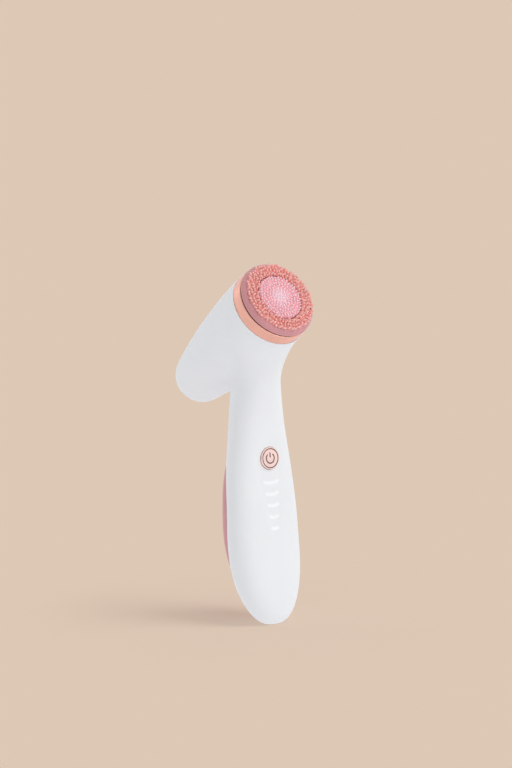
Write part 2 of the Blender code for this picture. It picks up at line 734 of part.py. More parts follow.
def make_power(skins, front):
    """The cell, its cradle, the cradle's screws, and the charging coil in the foot."""
    cell_y, cell_radius = 14.5, 5.2
    cell_low, cell_high = -51.6, -7.6
    cell = revolve(
        "battery_cell",
        [
            (0, cell_low), (4.6, cell_low), (cell_radius, cell_low + 0.6), (cell_radius, cell_high - 0.6),
            (4.6, cell_high), (1.9, cell_high), (1.9, cell_high + 1.0), (0, cell_high + 1.0),
        ],
        28,
        skin=skins["sleeve"],
        parent=front,
    )
    cell.location = Vector((0, cell_y, 0)) * MM
    cradle = box("battery_cradle", (-7.4, 8.6, -54.0), (7.4, 13.6, -4.8), skin=skins["grey"], parent=front)
    hollow = circle(cell_radius + GAP, 28, (0, cell_y))
    trough = prism("trough", hollow, -52.0, -6.2, parent=front, helper=True)
    boolean(cradle, trough)
    for number, (x, z) in enumerate(boss_places()):
        inner, outer = (7.0, 14.2) if x > 0 else (-14.2, -7.0)
        ear = box(f"ear_{number}", (inner, 8.6, z - 2.4), (outer, 10.2, z + 2.4), parent=front, helper=True)
        boolean(cradle, ear, "UNION")
        hole = prism(f"ear_hole_{number}", circle(1.2, 12, (x, -z)), 8.0, 11.0, parent=front, helper=True)
        boolean(cradle, lay_flat(hole))
        outline = [(0, 5.2), (0.85, 5.2), (0.85, 10.5), (1.9, 10.5), (1.9, 11.4), (1.5, 11.8), (0, 11.8)]
        screw = revolve(f"cradle_screw_{number + 1}", outline, 12, skin=skins["steel"], parent=front)
        lay_flat(screw, (x, 0, z))

    forward = float(handle_section(9.0)[2])
    coil_out = [(9.2 * math.cos(a), 4.6 * math.sin(a)) for a in np.linspace(0, TURN, 28, endpoint=False)]
    coil_in = [(5.8 * math.cos(a), 1.9 * math.sin(a)) for a in np.linspace(0, TURN, 28, endpoint=False)]
    coil = ring_prism("charging_coil", coil_in, coil_out, 8.2, 9.6, skin=skins["copper"])
    plate = prism("ferrite_plate", coil_out, 10.0, 10.8, skin=skins["ferrite"])
    for piece in (coil, plate):
        piece.location = Vector((0, -forward, 0)) * MM


# ---------------------------------------------------------------- pieces of the head


def make_motor(skins, head):
    revolve(
        "motor_can",
        [
            (1.6, -16.6), (3.1, -16.6), (3.1, -18.0), (12.0, -18.0), (12.0, -48.0), (11.2, -48.0),
            (11.2, -18.9), (1.6, -18.9),
        ],
        28, skin=skins["steel"], parent=head,
    )
    revolve("motor_bush", tube(1.2, 2.6, -20.9, -19.2), 16, skin=skins["brass"], parent=head)
    revolve("motor_end_bell", tube(1.3, 12.0, -50.6, -48.3), 28, skin=skins["black"], parent=head)
    for number, middle in enumerate((0.0, math.pi)):
        half = math.radians(62)
        outline = arc(11.0, middle - half, middle + half, 12) + arc(9.1, middle + half, middle - half, 12)
        prism(f"motor_magnet_{number + 1}", outline, -42.0, -24.0, skin=skins["ferrite"], parent=head)
    for number, x in enumerate((-6.0, 6.0)):
        box(f"motor_terminal_{number + 1}", (x - 1.2, -0.25, -54.0), (x + 1.2, 0.25, -50.9),
            skin=skins["brass"], parent=head)
    revolve("motor_shaft", tube(0, 1.0, -50.0, GEAR_FRONT - 0.2), 16, skin=skins["steel"], parent=head)
    make_armature(skins, head)
    revolve("commutator", tube(1.2, 2.7, -46.4, -43.4), 18, skin=skins["copper"], parent=head)

    gap = math.radians(28)
    under = -math.pi / 2
    outline = arc(15.3, under + gap, under + TURN - gap, 26) + arc(12.3, under + TURN - gap, under + gap, 26)
    prism("motor_cushion", outline, -46.0, -40.0, skin=skins["rubber"], parent=head)


def make_armature(skins, head):
    """Three-pole armature: wide pole shoes with winding slots between them."""
    outline = []
    for pole in range(3):
        centre = TURN * pole / 3
        for radius, angle in ((3.0, -0.92), (6.6, -0.86), (7.8, -0.80)):
            outline.append((radius * math.cos(centre + angle), radius * math.sin(centre + angle)))
        for angle in (-0.4, 0.0, 0.4):
            outline.append((7.8 * math.cos(centre + angle), 7.8 * math.sin(centre + angle)))
        for radius, angle in ((7.8, 0.80), (6.6, 0.86), (3.0, 0.92)):
            outline.append((radius * math.cos(centre + angle), radius * math.sin(centre + angle)))
    hole = circle(1.2, len(outline), start=math.atan2(outline[0][1], outline[0][0]))
    ring_prism("armature", hole, outline, -41.5, -25.0, skin=skins["steel"], parent=head)


def make_gearbox(skins, head):
    cover = revolve(
        "gearbox_cover",
        [(4.4, -5.2), (16.4, -5.2), (16.4, -8.9), (12.9, -8.9), (12.9, -6.7), (4.4, -6.7)],
        40, skin=skins["grey"], parent=head,
    )
    pitch = MODULE * RING_TEETH / 2
    teeth = gear_outline(
        RING_TEETH, pitch - 0.9 * MODULE, pitch + 1.2 * MODULE, BACKLASH, math.pi / RING_TEETH
    )
    ring = revolve("ring_gear", tube(8.0, 16.4, GEAR_BACK - 0.4, -9.2), 40, skin=skins["acetal"], parent=head)
    boolean(ring, prism("ring_teeth", teeth, GEAR_BACK - 2, -8.0, parent=head, helper=True))
    plate = revolve("motor_plate", tube(3.4, 16.4, -17.3, -15.7), 40, skin=skins["steel"], parent=head)
    for number in range(3):
        angle = math.radians(60) + TURN * number / 3
        place = (14.75 * math.cos(angle), 14.75 * math.sin(angle))
        hole = prism(f"screw_hole_{number}", circle(1.05, 12, place), -18.0, -4.0, parent=head, helper=True)
        for piece in (cover, ring, plate):
            boolean(piece, hole)
        outline = [(0, -17.2), (0.8, -17.2), (0.8, -4.9), (1.4, -4.9), (1.4, -4.0), (1.0, -3.7), (0, -3.7)]
        screw = revolve(f"gearbox_screw_{number + 1}", outline, 12, skin=skins["steel"], parent=head)
        screw.location = Vector((*place, 0)) * MM
    spur_gear("sun_gear", SUN_TEETH, 1.2, 0.0, skin=skins["brass"], parent=head)
    revolve("output_bearing", tube(2.25, 4.1, -7.0, -5.0), 24, skin=skins["steel"], parent=head)

    carrier = revolve("planet_carrier", tube(2.2, 10.3, -8.7, -7.3), 36, skin=skins["steel"], parent=head)
    spacing = MODULE * (SUN_TEETH + PLANET_TEETH) / 2
    for number in range(PLANETS):
        angle = TURN * number / PLANETS
        place = (spacing * math.cos(angle), spacing * math.sin(angle))
        pin = prism(f"planet_pin_{number}", circle(1.15, 14, place), -15.2, -8.0, parent=head, helper=True)
        boolean(carrier, pin, "UNION")
        gear = spur_gear(
            f"planet_gear_{number + 1}", PLANET_TEETH, 1.35, math.pi / PLANET_TEETH, skin=skins["acetal"],
            parent=head,
        )
        gear.location = Vector((*place, 0)) * MM
        gear.rotation_euler = (0, 0, angle)

    shaft = revolve("output_shaft", tube(0, 2.0, -8.5, 6.0), 24, skin=skins["steel"], parent=head)
    boolean(shaft, prism("drive_hex", circle(2.9, 6), 5.3, 8.8, parent=head, helper=True), "UNION")


def make_head_front(skins, head):
    revolve(
        "front_bulkhead",
        [
            (4.4, -2.6), (6.5, -2.6), (6.5, 0.3), (16.9, 0.3), (16.9, -17.4), (18.0, -17.4), (18.0, 3.0),
            (6.5, 3.0), (6.5, 5.0), (4.4, 5.0),
        ],
        40, skin=skins["grey"], parent=head,
    )
    revolve("nose_bearing", tube(2.25, 4.1, -2.2, 0.6), 24, skin=skins["steel"], parent=head)
    revolve("shaft_seal", [(2.25, 1.2), (4.1, 1.2), (4.1, 4.4), (3.2, 4.4), (2.25, 3.4)], 24,
            skin=skins["rubber"], parent=head)
    revolve(
        "head_trim_ring",
        [
            (18.4, -4.0), (18.75, -4.0), (18.75, 0.3), (20.4, 0.3), (20.6, 0.5), (20.6, 5.8), (20.3, 6.1),
            (18.4, 6.1),
        ],
        40, skin=skins["rose_gold"], parent=head,
    )


def make_brush(skins, head):
    """The lift-off brush: a fixed outer ring of soft nubs, and a disc in its middle that spins."""
    revolve(
        "outer_brush_ring",
        [
            (4.5, 6.9), (16.6, 6.9), (16.6, 4.2), (18.0, 4.2), (18.0, 6.5), (20.1, 6.5), (20.4, 6.9),
            (20.3, 7.9), (19.8, 8.8), (18.9, 9.5), (17.9, 9.8), (12.55, 9.8), (12.55, 7.6), (4.5, 7.6),
        ],
        40, skin=skins["mauve"], parent=head,
    )
    revolve("outer_bristle_pad", [(12.8, 10.1), (17.8, 10.1), (17.7, 11.4), (13.0, 11.4)], 40,
            skin=skins["coral"], parent=head)
    disc = revolve(
        "inner_brush_disc",
        [(0, 5.6), (4.1, 5.6), (4.1, 7.9), (12.1, 7.9), (12.1, 9.6), (11.8, 9.9), (0, 9.9)],
        40, skin=skins["pink"], parent=head,
    )
    boolean(disc, prism("hex_socket", circle(3.3, 6), 5.0, 9.1, parent=head, helper=True))
    revolve("disc_retaining_ring", tube(4.3, 6.0, 5.8, 6.5), 28, skin=skins["steel"], parent=head)
    revolve("inner_bristle_pad", [(0, 10.2), (11.8, 10.2), (11.6, 11.4), (0, 11.4)], 40,
            skin=skins["pink"], parent=head)


def make_wires(skins):
    """Leads from the motor down through the neck to the board, and from the cell up to the board."""
    down, axis = BARREL_DOWN, BRUSH_AXIS

    def in_head(x, below, s):
        return HEAD_POINT - s * axis + below * down + Vector((x, 0, 0))

    for number, (side, skin) in enumerate(((-1, "red"), (1, "black"))):
        path = [
            in_head(side * 6.0, 0.0, 55.2),
            in_head(side * 5.0, 8.0, 56.5),
            in_head(side * 2.6, 13.6, 50.0),
            in_head(side * 2.4, 14.0, 40.0),
            in_head(side * 2.4, 16.5, 33.0),
            Vector((side * 2.4, 18.5, 112.0)),
            Vector((side * 2.4, 11.5, 100.5)),
        ]
        wire(f"motor_lead_{number + 1}", path, 0.55, skins[skin])


def build():
    clear_scene()
    skins = make_materials()
    head = frame("head_axis", HEAD_POINT, math.pi / 2 - HEAD_TILT)
    front = frame("front_plane", BUTTON_POINT, -FRONT_TILT)
    make_housing(skins, front)
    make_grip_cover(skins)
    make_grip_seal(skins)
    make_button(skins, front)
    make_lights(skins, front)
    make_electronics(skins, front)
    make_power(skins, front)
    make_motor(skins, head)
    make_gearbox(skins, head)
    make_head_front(skins, head)
    make_brush(skins, head)
    make_wires(skins)


build()
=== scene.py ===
"""Looks of the facial cleansing brush: fine surfaces, silicone nubs, materials, light and camera.

Shapes are worked out in millimetres, from the same formulas as the CAD, and MM turns them into metres.
"""

import json
import math
import random

import bmesh
import bpy
import numpy as np
from mathutils import Matrix, Vector


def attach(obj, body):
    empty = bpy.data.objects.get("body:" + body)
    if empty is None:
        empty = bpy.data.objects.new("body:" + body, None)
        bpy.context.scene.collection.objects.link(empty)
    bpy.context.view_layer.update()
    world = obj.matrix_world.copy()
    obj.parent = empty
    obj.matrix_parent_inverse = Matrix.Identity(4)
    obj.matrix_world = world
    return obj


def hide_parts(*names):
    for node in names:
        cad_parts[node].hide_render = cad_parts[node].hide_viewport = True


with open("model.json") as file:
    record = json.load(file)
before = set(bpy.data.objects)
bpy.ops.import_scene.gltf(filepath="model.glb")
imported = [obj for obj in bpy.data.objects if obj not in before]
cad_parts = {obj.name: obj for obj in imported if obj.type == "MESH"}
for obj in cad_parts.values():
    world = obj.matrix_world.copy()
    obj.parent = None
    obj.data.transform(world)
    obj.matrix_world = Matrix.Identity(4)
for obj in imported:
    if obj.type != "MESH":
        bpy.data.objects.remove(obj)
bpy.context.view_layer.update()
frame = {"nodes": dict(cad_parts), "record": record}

MM = 0.001
GAP = 0.3
WALL = 2.2
TURN = 2 * math.pi

# Handle cross-sections: height, half width, half depth, and how far forward of the foot the centre lies.
HANDLE_HEIGHT = [0, 20, 40, 60, 80, 100, 126, 150]
HANDLE_HALF_WIDTH = [17.7, 19.6, 20.7, 20.1, 18.6, 15.55, 12.45, 12.2]
HANDLE_HALF_DEPTH = [11.0, 10.9, 10.6, 10.2, 9.9, 10.2, 11.3, 11.6]
HANDLE_FORWARD = [0, -4.85, -8.2, -10.1, -12.5, -14.2, -15.1, -15.6]
SECTION_POWER = 2.3  # 2 is an ellipse; a larger power is squarer
FOOT_DOME = 36.6  # height over which the bottom of the handle rounds in
FOOT_POWER = 2.4
FOOT_CUT = 0.9  # how much of the round bottom is cut off flat
NECK_TOP = 132.0  # above this the handle closes inside the barrel
NECK_CAP = 24.0

# Barrel: a tapering round body on the brush axis, its open end at HEAD_POINT.
HEAD_POINT = Vector((0, 3.3, 160.9))
HEAD_TILT = math.radians(35.5)  # the brush axis rises this much above level
BARREL_LENGTH = 83.4
BARREL_RADIUS = 21.26
BARREL_TAPER = -0.007
BARREL_CURVE = 0.00149
BARREL_END_START = 71.7
BARREL_END_POWER = 2.42
BLEND_FRONT = 12.4  # size of the fillet between neck and barrel, at the front and at the back
BLEND_BACK = 5.0
BLEND_EDGE = 20.2  # how far back the fillet starts to grow, and over what distance it reaches full size
BLEND_SPAN = 12.4

# Front of the handle: the plane that carries the button and the light bars.
BUTTON_POINT = Vector((0, 2.75, 84.4))
FRONT_TILT = math.radians(6.6)
BUTTON_RADIUS = 5.6
BUTTON_CLEARANCE = 0.22
BAR_COUNT = 5
BAR_FIRST = 12.5  # first bar's distance below the button
BAR_STEP = 5.85
BAR_WIDTH = 10.4
BAR_SHRINK = 1.3  # each bar is this much narrower than the one above
BAR_THICK = 1.9
BAR_BEND = 14.0  # radius of the first bar's smile curve
BAR_BEND_SHARE = 0.72  # each bar's radius against the one above

# Soft grip cover on the back of the handle.
GRIP_CENTRE = 51.0
GRIP_HALF_WIDTH = 18.5
GRIP_HALF_HEIGHT = 39.2
GRIP_RIM = 0.8
GRIP_BULGE = 5.2
GRIP_THICK = 1.8
OPENING_SHARE = 0.76  # size of the housing's rear opening against the cover's outline

# Shallow dish round the button, running down beside the bars.
DISH_DEPTH = 0.3
DISH_DROP, DISH_HALF_HEIGHT = 12.0, 30.0  # its middle's distance below the button, and its half height
DISH_HALF_WIDTH, DISH_TAPER = 9.2, 0.09
DISH_SOFT = 0.55  # share of the way in over which the edge eases
DISH_REACH = 8.0  # it touches only skin this close to the front plane

# The photograph's view, and the pale sheet's colours: seen, lit, and as light thrown back at the object.
PHOTO_AZIMUTH, PHOTO_ELEVATION = -38.04, 9.98
LENS_MM, SENSOR_MM = 111.68, 36.0
CAMERA_AWAY = 1.2
AIM = Vector((0, 0, 0.0891))
AIM_LEFT, AIM_UP = 0.00895, 0.03313
SHEET_COLOUR = (0.723, 0.578, 0.462)
SHEET_DIFFUSE = (0.765, 0.611, 0.489)
SHEET_BOUNCE = (0.90, 0.90, 0.92)
SHADOW_SHARE = 0.92  # strength of the shadow at the foot; it fades out between the two distances
SHADOW_NEAR, SHADOW_FAR = 0.03, 0.15

# Light: an even sky, a wide sun for the shadow's direction (azimuth, elevation), and what the lamps point at.
SKY_COLOUR, SKY_STRENGTH = (0.98, 0.985, 1.0), 0.665
SUN_FROM, SUN_STRENGTH, SUN_WIDTH = (42, 57), 0.7, math.radians(26)
LIT_POINT = Vector((0, 0.01, 0.1))


# ---- the shape of the body


def through(x, knots, values):
    """A smooth curve through the given values."""
    knots, values = np.asarray(knots, float), np.asarray(values, float)
    slopes = np.gradient(values, knots)
    i = np.clip(np.searchsorted(knots, x) - 1, 0, len(knots) - 2)
    step = knots[i + 1] - knots[i]
    t = np.clip((x - knots[i]) / step, 0, 1)
    return (
        values[i] * (2 * t**3 - 3 * t**2 + 1)
        + values[i + 1] * (3 * t**2 - 2 * t**3)
        + slopes[i] * step * (t**3 - 2 * t**2 + t)
        + slopes[i + 1] * step * (t**3 - t**2)
    )


def handle_section(z):
    return (
        through(z, HANDLE_HEIGHT, HANDLE_HALF_WIDTH),
        through(z, HANDLE_HEIGHT, HANDLE_HALF_DEPTH),
        through(z, HANDLE_HEIGHT, HANDLE_FORWARD),
    )


def handle_level(p):
    """0 on the handle's surface, negative inside. Its round foot starts FOOT_CUT below the origin."""
    z = p[:, 2] + FOOT_CUT
    half_width, half_depth, forward = handle_section(z)
    across = np.abs(p[:, 0] / half_width) ** SECTION_POWER
    along = np.abs((p[:, 1] + forward) / half_depth) ** SECTION_POWER
    section = (across + along) ** (1 / SECTION_POWER)
    foot = np.clip((FOOT_DOME - z) / FOOT_DOME, 0, None)
    cap = np.clip((z - NECK_TOP) / NECK_CAP, 0, None)
    return (section**FOOT_POWER + foot**FOOT_POWER + cap**FOOT_POWER) ** (1 / FOOT_POWER) - 1


BRUSH_AXIS = Vector((0, -math.cos(HEAD_TILT), math.sin(HEAD_TILT)))
BARREL_DOWN = Vector((0, -math.sin(HEAD_TILT), -math.cos(HEAD_TILT)))


def barrel_radius(s):
    return BARREL_RADIUS - BARREL_TAPER * s - BARREL_CURVE * s * s


def barrel_level(p):
    """0 on the barrel's surface, negative inside. It runs on past the barrel's open front."""
    offset = p - np.array(HEAD_POINT)
    s = -offset @ np.array(BRUSH_AXIS)
    below = offset @ np.array(BARREL_DOWN)
    section = np.hypot(offset[:, 0], below) / barrel_radius(np.clip(s, 0, BARREL_LENGTH))
    end = np.clip((s - BARREL_END_START) / (BARREL_LENGTH - BARREL_END_START), 0, None)
    return (section**BARREL_END_POWER + end**BARREL_END_POWER) ** (1 / BARREL_END_POWER) - 1


def slope(level, p, step=0.02):
    shifts = np.eye(3) * step
    return np.stack([(level(p + d) - level(p - d)) / (2 * step) for d in shifts], axis=1)


def distance(level, p):
    """A level made into millimetres from the surface."""
    return level(p) / np.linalg.norm(slope(level, p), axis=1)


def body_distance(p):
    """Distance outside the body: handle and barrel joined by a fillet that is larger at the front."""
    handle = distance(handle_level, p)
    barrel = distance(barrel_level, p)
    front = np.clip((BLEND_EDGE - p[:, 1]) / BLEND_SPAN, 0, 1)
    blend = BLEND_BACK + (BLEND_FRONT - BLEND_BACK) * front * front * (3 - 2 * front)
    h = np.clip(0.5 + 0.5 * (barrel - handle) / blend, 0, 1)
    return barrel + (handle - barrel) * h - blend * h * (1 - h)


def settle(level, p, rounds=4, step=0.02):
    """Moves points straight onto the surface where the level is 0."""
    for _ in range(rounds):
        normal = slope(level, p, step)
        length = np.linalg.norm(normal, axis=1, keepdims=True)
        p = p - normal / length**2 * level(p)[:, None]
    return p


class Grid:
    """Points filed under keys, and the faces between them."""

    def __init__(self):
        self.points, self.index, self.faces = [], {}, []

    def add(self, key, point):
        self.index[key] = len(self.points)
        self.points.append(point)

    def face(self, *keys):
        self.faces.append([self.index[key] for key in keys])


PATCH_START, PATCH_END = 9.0, 50.0  # where the neck's patch in the barrel starts and ends, back from the rim
LAST_ROW = 0.4  # distance of the barrel's last row of points from its tip
FLATTEST = 0.995  # the barrel's end is taken no flatter than this
SMALLEST = 1.0  # least radius of a row of points
NECK_HIGH, NECK_LOW = 114.0, 32.0  # heights of the handle's evenly spaced rows
FOOT_HIGH, FOOT_CROWD = 30.0, 1.6  # below this height the rows crowd towards the foot


def barrel_rows(fine):
    """How far back each row of the barrel lies, and the first and last row of the neck's patch."""
    start = np.linspace(0, PATCH_START, 1 + fine)[:-1]
    patch = np.linspace(PATCH_START, PATCH_END, 6 * fine + 1)
    tail = np.sin(np.linspace(0, math.pi / 2, 8 * fine)[1:])
    rows = np.concatenate([start, patch, PATCH_END + (BARREL_LENGTH - LAST_ROW - PATCH_END) * tail])
    return rows.tolist(), len(start), len(start) + 6 * fine


def centred(j, columns):
    """The column's number counted from the middle of the patch, negative on one side."""
    return (j + columns // 2) % columns - columns // 2


def add_barrel_points(grid, rows, first, last, columns, half_patch):
    for i, s in enumerate(rows):
        end = min(max((s - BARREL_END_START) / (BARREL_LENGTH - BARREL_END_START), 0.0), FLATTEST)
        radius = barrel_radius(s) * (1 - end**BARREL_END_POWER) ** (1 / BARREL_END_POWER)
        for j in range(columns):
            offset = centred(j, columns)
            if first < i < last and -half_patch < offset < half_patch:
                continue
            angle = TURN * offset / columns
            around = math.cos(angle) * BARREL_DOWN + math.sin(angle) * Vector((1, 0, 0))
            grid.add(("barrel", i, j), HEAD_POINT - s * BRUSH_AXIS + max(radius, SMALLEST) * around)
    grid.add("end", HEAD_POINT - BARREL_LENGTH * BRUSH_AXIS)


def add_barrel_faces(grid, rows, first, last, columns, half_patch):
    for i in range(len(rows) - 1):
        for j in range(columns):
            if first <= i < last and -half_patch <= centred(j, columns) < half_patch:
                continue
            corners = [(i, j), (i, (j + 1) % columns), (i + 1, (j + 1) % columns), (i + 1, j)]
            grid.face(*[("barrel", *corner) for corner in corners])
    tail = len(rows) - 1
    for j in range(columns):
        grid.face(("barrel", tail, j), ("barrel", tail, (j + 1) % columns), "end")


def patch_edge(first, last, half_patch):
    """(row, column) of each point round the edge of the patch, from the middle of its front row."""
    edge = [(first, j) for j in range(half_patch + 1)]
    edge += [(i, half_patch) for i in range(first + 1, last + 1)]
    edge += [(last, j) for j in range(half_patch - 1, -half_patch - 1, -1)]
    edge += [(i, -half_patch) for i in range(last - 1, first - 1, -1)]
    return edge + [(first, j) for j in range(-half_patch + 1, 0)]


def add_handle_points(grid, count, fine):
    """Rows of count points down the handle; returns how many rows there are."""
    upper = np.linspace(NECK_HIGH, NECK_LOW, 8 * fine)
    lower = FOOT_HIGH * (1 - np.linspace(0, 1, 6 * fine + 1)[1:-1]) ** FOOT_CROWD
    heights = np.concatenate([upper, lower]).tolist()
    for k, z in enumerate(heights):
        half_width, half_depth, forward = (float(v) for v in handle_section(z))
        foot = max(1 - max(0.0, (FOOT_DOME - z) / FOOT_DOME) ** FOOT_POWER, 0.02) ** (1 / FOOT_POWER)
        for j in range(count):
            angle = TURN * j / count
            x = half_width * foot * math.sin(angle)
            grid.add(("handle", k, j), Vector((x, -(forward + half_depth * foot * math.cos(angle)), z)))
    grid.add("foot", Vector((0, -float(handle_section(0)[2]), -FOOT_CUT)))
    return len(heights)


def add_neck(grid, loop, handle_rows, steps):
    """Joins the barrel's open patch edge to the handle's rows, and the handle's last row to the foot."""
    count = len(loop)
    for step in range(1, steps):
        for j, key in enumerate(loop):
            above, below = grid.points[grid.index[key]], grid.points[grid.index[("handle", 0, j)]]
            grid.add(("neck", step, j), above.lerp(below, step / steps))
    loops = [loop]
    loops += [[("neck", step, j) for j in range(count)] for step in range(1, steps)]
    loops += [[("handle", k, j) for j in range(count)] for k in range(handle_rows)]
    for upper, lower in zip(loops, loops[1:]):
        for j in range(count):
            j2 = (j + 1) % count
            grid.face(upper[j], upper[j2], lower[j2], lower[j])
    for j in range(count):
        grid.face(loops[-1][j], loops[-1][(j + 1) % count], "foot")


def body_grid(fine):
    """Points and faces of the whole body, open at the barrel's rim.

    The barrel is a grid of rows and columns with a patch left out underneath, and the edge of that patch is
    joined to the handle's rows, which have the same number of points.
    """
    columns, half_patch = 24 * fine, 3 * fine
    rows, first, last = barrel_rows(fine)
    grid = Grid()
    add_barrel_points(grid, rows, first, last, columns, half_patch)
    loop = [("barrel", i, j % columns) for i, j in patch_edge(first, last, half_patch)]
    handle_rows = add_handle_points(grid, len(loop), fine)
    add_barrel_faces(grid, rows, first, last, columns, half_patch)
    add_neck(grid, loop, handle_rows, 4 * fine)
    rim = [grid.index[("barrel", 0, j)] for j in range(columns)]
    points = np.array([tuple(p) for p in grid.points])
    return relax(points, grid.faces, rim, 12 * fine), grid.faces


def relax(points, faces, pinned, rounds):
    """Evens out the grid and keeps it on the surface; the rim stays where it is."""
    ends = {(a, b) for face in faces for a, b in zip(face, face[1:] + face[:1])}
    ends |= {(b, a) for a, b in ends}
    first, second = np.array(sorted(ends)).T
    degree = np.bincount(first, minlength=len(points))[:, None]
    free = np.ones(len(points), bool)
    free[pinned] = False
    points[free] = settle(body_distance, points[free])
    for _ in range(rounds):
        total = np.zeros_like(points)
        np.add.at(total, first, points[second])
        points[free] = (points + (total / degree - points) * 0.5)[free]
        points[free] = settle(body_distance, points[free], 1)
    points[free] = settle(body_distance, points[free])
    return points


ROUNDS = 8  # steps of the search for a point on the surface
LEAST_SLOPE = 0.2


def back_surface(places):
    """Y of the body's back surface at each (x, z) place."""
    x, z = np.array(places, float).T
    _, half_depth, forward = handle_section(z)
    p = np.stack([x, half_depth - forward, z], axis=1)
    for _ in range(ROUNDS):
        steepness = np.maximum(slope(body_distance, p)[:, 1], LEAST_SLOPE)
        p[:, 1] -= body_distance(p) / steepness
    return p[:, 1].tolist()


FRONT_AXES = Matrix.Rotation(-FRONT_TILT - math.pi / 2, 3, "X")
HEAD_MATRIX = Matrix.Translation(HEAD_POINT * MM) @ Matrix.Rotation(math.pi / 2 - HEAD_TILT, 4, "X")
FRONT_MATRIX = Matrix.Translation(BUTTON_POINT * MM) @ FRONT_AXES.to_4x4()


def dish(p):
    """Depth of the shallow dish at each point."""
    across, drop, depth = ((p - np.array(BUTTON_POINT)) @ np.array(FRONT_AXES)).T
    down = drop - DISH_DROP
    half_width = DISH_HALF_WIDTH - DISH_TAPER * np.clip(down, -DISH_HALF_HEIGHT, DISH_HALF_HEIGHT)
    egg = np.hypot(across / half_width, down / DISH_HALF_HEIGHT)
    side = np.clip((1 - egg) / DISH_SOFT, 0, 1)
    return DISH_DEPTH * side * side * (3 - 2 * side) * (np.abs(depth) < DISH_REACH)


def skin_distance(p):
    """Distance outside the visible skin, which is the body with the dish let in."""
    return body_distance(p) + dish(p)


def skin_normals(p):
    normal = slope(skin_distance, p, 0.08)
    return normal / np.linalg.norm(normal, axis=1, keepdims=True)


def front_depth(places, lift):
    """Depth behind the front plane at which the skin, raised by lift, lies at each (x, drop) place."""
    start = np.array([tuple(BUTTON_POINT + FRONT_AXES @ Vector((x, y, 0))) for x, y in places])
    inward = np.array(FRONT_AXES.col[2])
    depth = np.zeros(len(start))
    for _ in range(ROUNDS):
        p = start + depth[:, None] * inward
        depth -= (skin_distance(p) - lift) / (slope(skin_distance, p) @ inward)
    return depth.tolist()


# ---- building blocks


def placed(name, data):
    obj = bpy.data.objects.new(name, data)
    bpy.context.scene.collection.objects.link(obj)
    return obj


def piece(name, mesh, body, slot, matrix=None, stands_for=(), smooth_angle=40):
    """A visible piece that rides on a body, in the finish of a material slot of the record."""
    obj = placed(name, mesh)
    if matrix is not None:
        obj.matrix_world = matrix
    mesh.shade_smooth()
    mesh.set_sharp_from_angle(angle=math.radians(smooth_angle))
    mesh.materials.clear()
    mesh.materials.append(MATERIALS[slot])
    bpy.context.view_layer.update()
    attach(obj, body)
    if stands_for:
        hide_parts(*stands_for)
    return obj


def mesh_from(name, points, faces):
    """A mesh from points in millimetres, its faces turned outwards."""
    mesh = bpy.data.meshes.new(name)
    mesh.from_pydata([tuple(float(c) * MM for c in p) for p in points], [], faces)
    bm = bmesh.new()
    bm.from_mesh(mesh)
    bmesh.ops.recalc_face_normals(bm, faces=bm.faces)
    bm.to_mesh(mesh)
    bm.free()
    return mesh


ON_AXIS = 1e-6
NEARLY_STRAIGHT = math.radians(172)
MOST_OF_EDGE = 0.45  # share of an edge that one rounded corner may take


def rounded(outline, radius, steps=4):
    """Rounds each corner of a closed (r, z) outline; corners on the axis and nearly straight ones stay."""
    result = []
    count = len(outline)
    for i, here in enumerate(outline):
        here = Vector(here)
        before, after = Vector(outline[i - 1]), Vector(outline[(i + 1) % count])
        to_before, to_after = before - here, after - here
        corner = to_before.angle(to_after, math.pi)
        if here.x < ON_AXIS or corner > NEARLY_STRAIGHT:
            result.append(tuple(here))
            continue
        edge = min(to_before.length, to_after.length)
        reach = min(radius / math.tan(corner / 2), MOST_OF_EDGE * edge)
        start, end = here + to_before.normalized() * reach, here + to_after.normalized() * reach
        for k in range(steps + 1):
            t = k / steps
            point = start * (1 - t) ** 2 + here * (2 * t * (1 - t)) + end * t * t
            result.append(tuple(point))
    return result


def revolved(name, profile, segments=128):
    """A closed (radius, height) outline spun about the local Z axis."""
    points, faces, rings = [], [], []
    for r, z in profile:
        if r < ON_AXIS:
            rings.append([len(points)] * segments)
            points.append((0, 0, z))
            continue
        rings.append(list(range(len(points), len(points) + segments)))
        turns = [TURN * k / segments for k in range(segments)]
        points += [(r * math.cos(a), r * math.sin(a), z) for a in turns]
    for first, second in zip(rings, rings[1:] + rings[:1]):
        for k in range(segments):
            k2 = (k + 1) % segments
            corners = list(dict.fromkeys((first[k], first[k2], second[k2], second[k])))
            if len(corners) > 2:
                faces.append(corners)
    return mesh_from(name, points, faces)


def stitched(rings, closed_start=None, closed_end=None):
    """Faces between successive rings of point indices; the ends may be closed onto one point."""
    faces = []
    for first, second in zip(rings, rings[1:]):
        faces += zip(first, first[1:] + first[:1], second[1:] + second[:1], second)
    for ring, pole in ((rings[0], closed_start), (rings[-1], closed_end)):
        if pole is not None:
            faces += [(here, after, pole) for here, after in zip(ring, ring[1:] + ring[:1])]
    return faces


# ---- materials


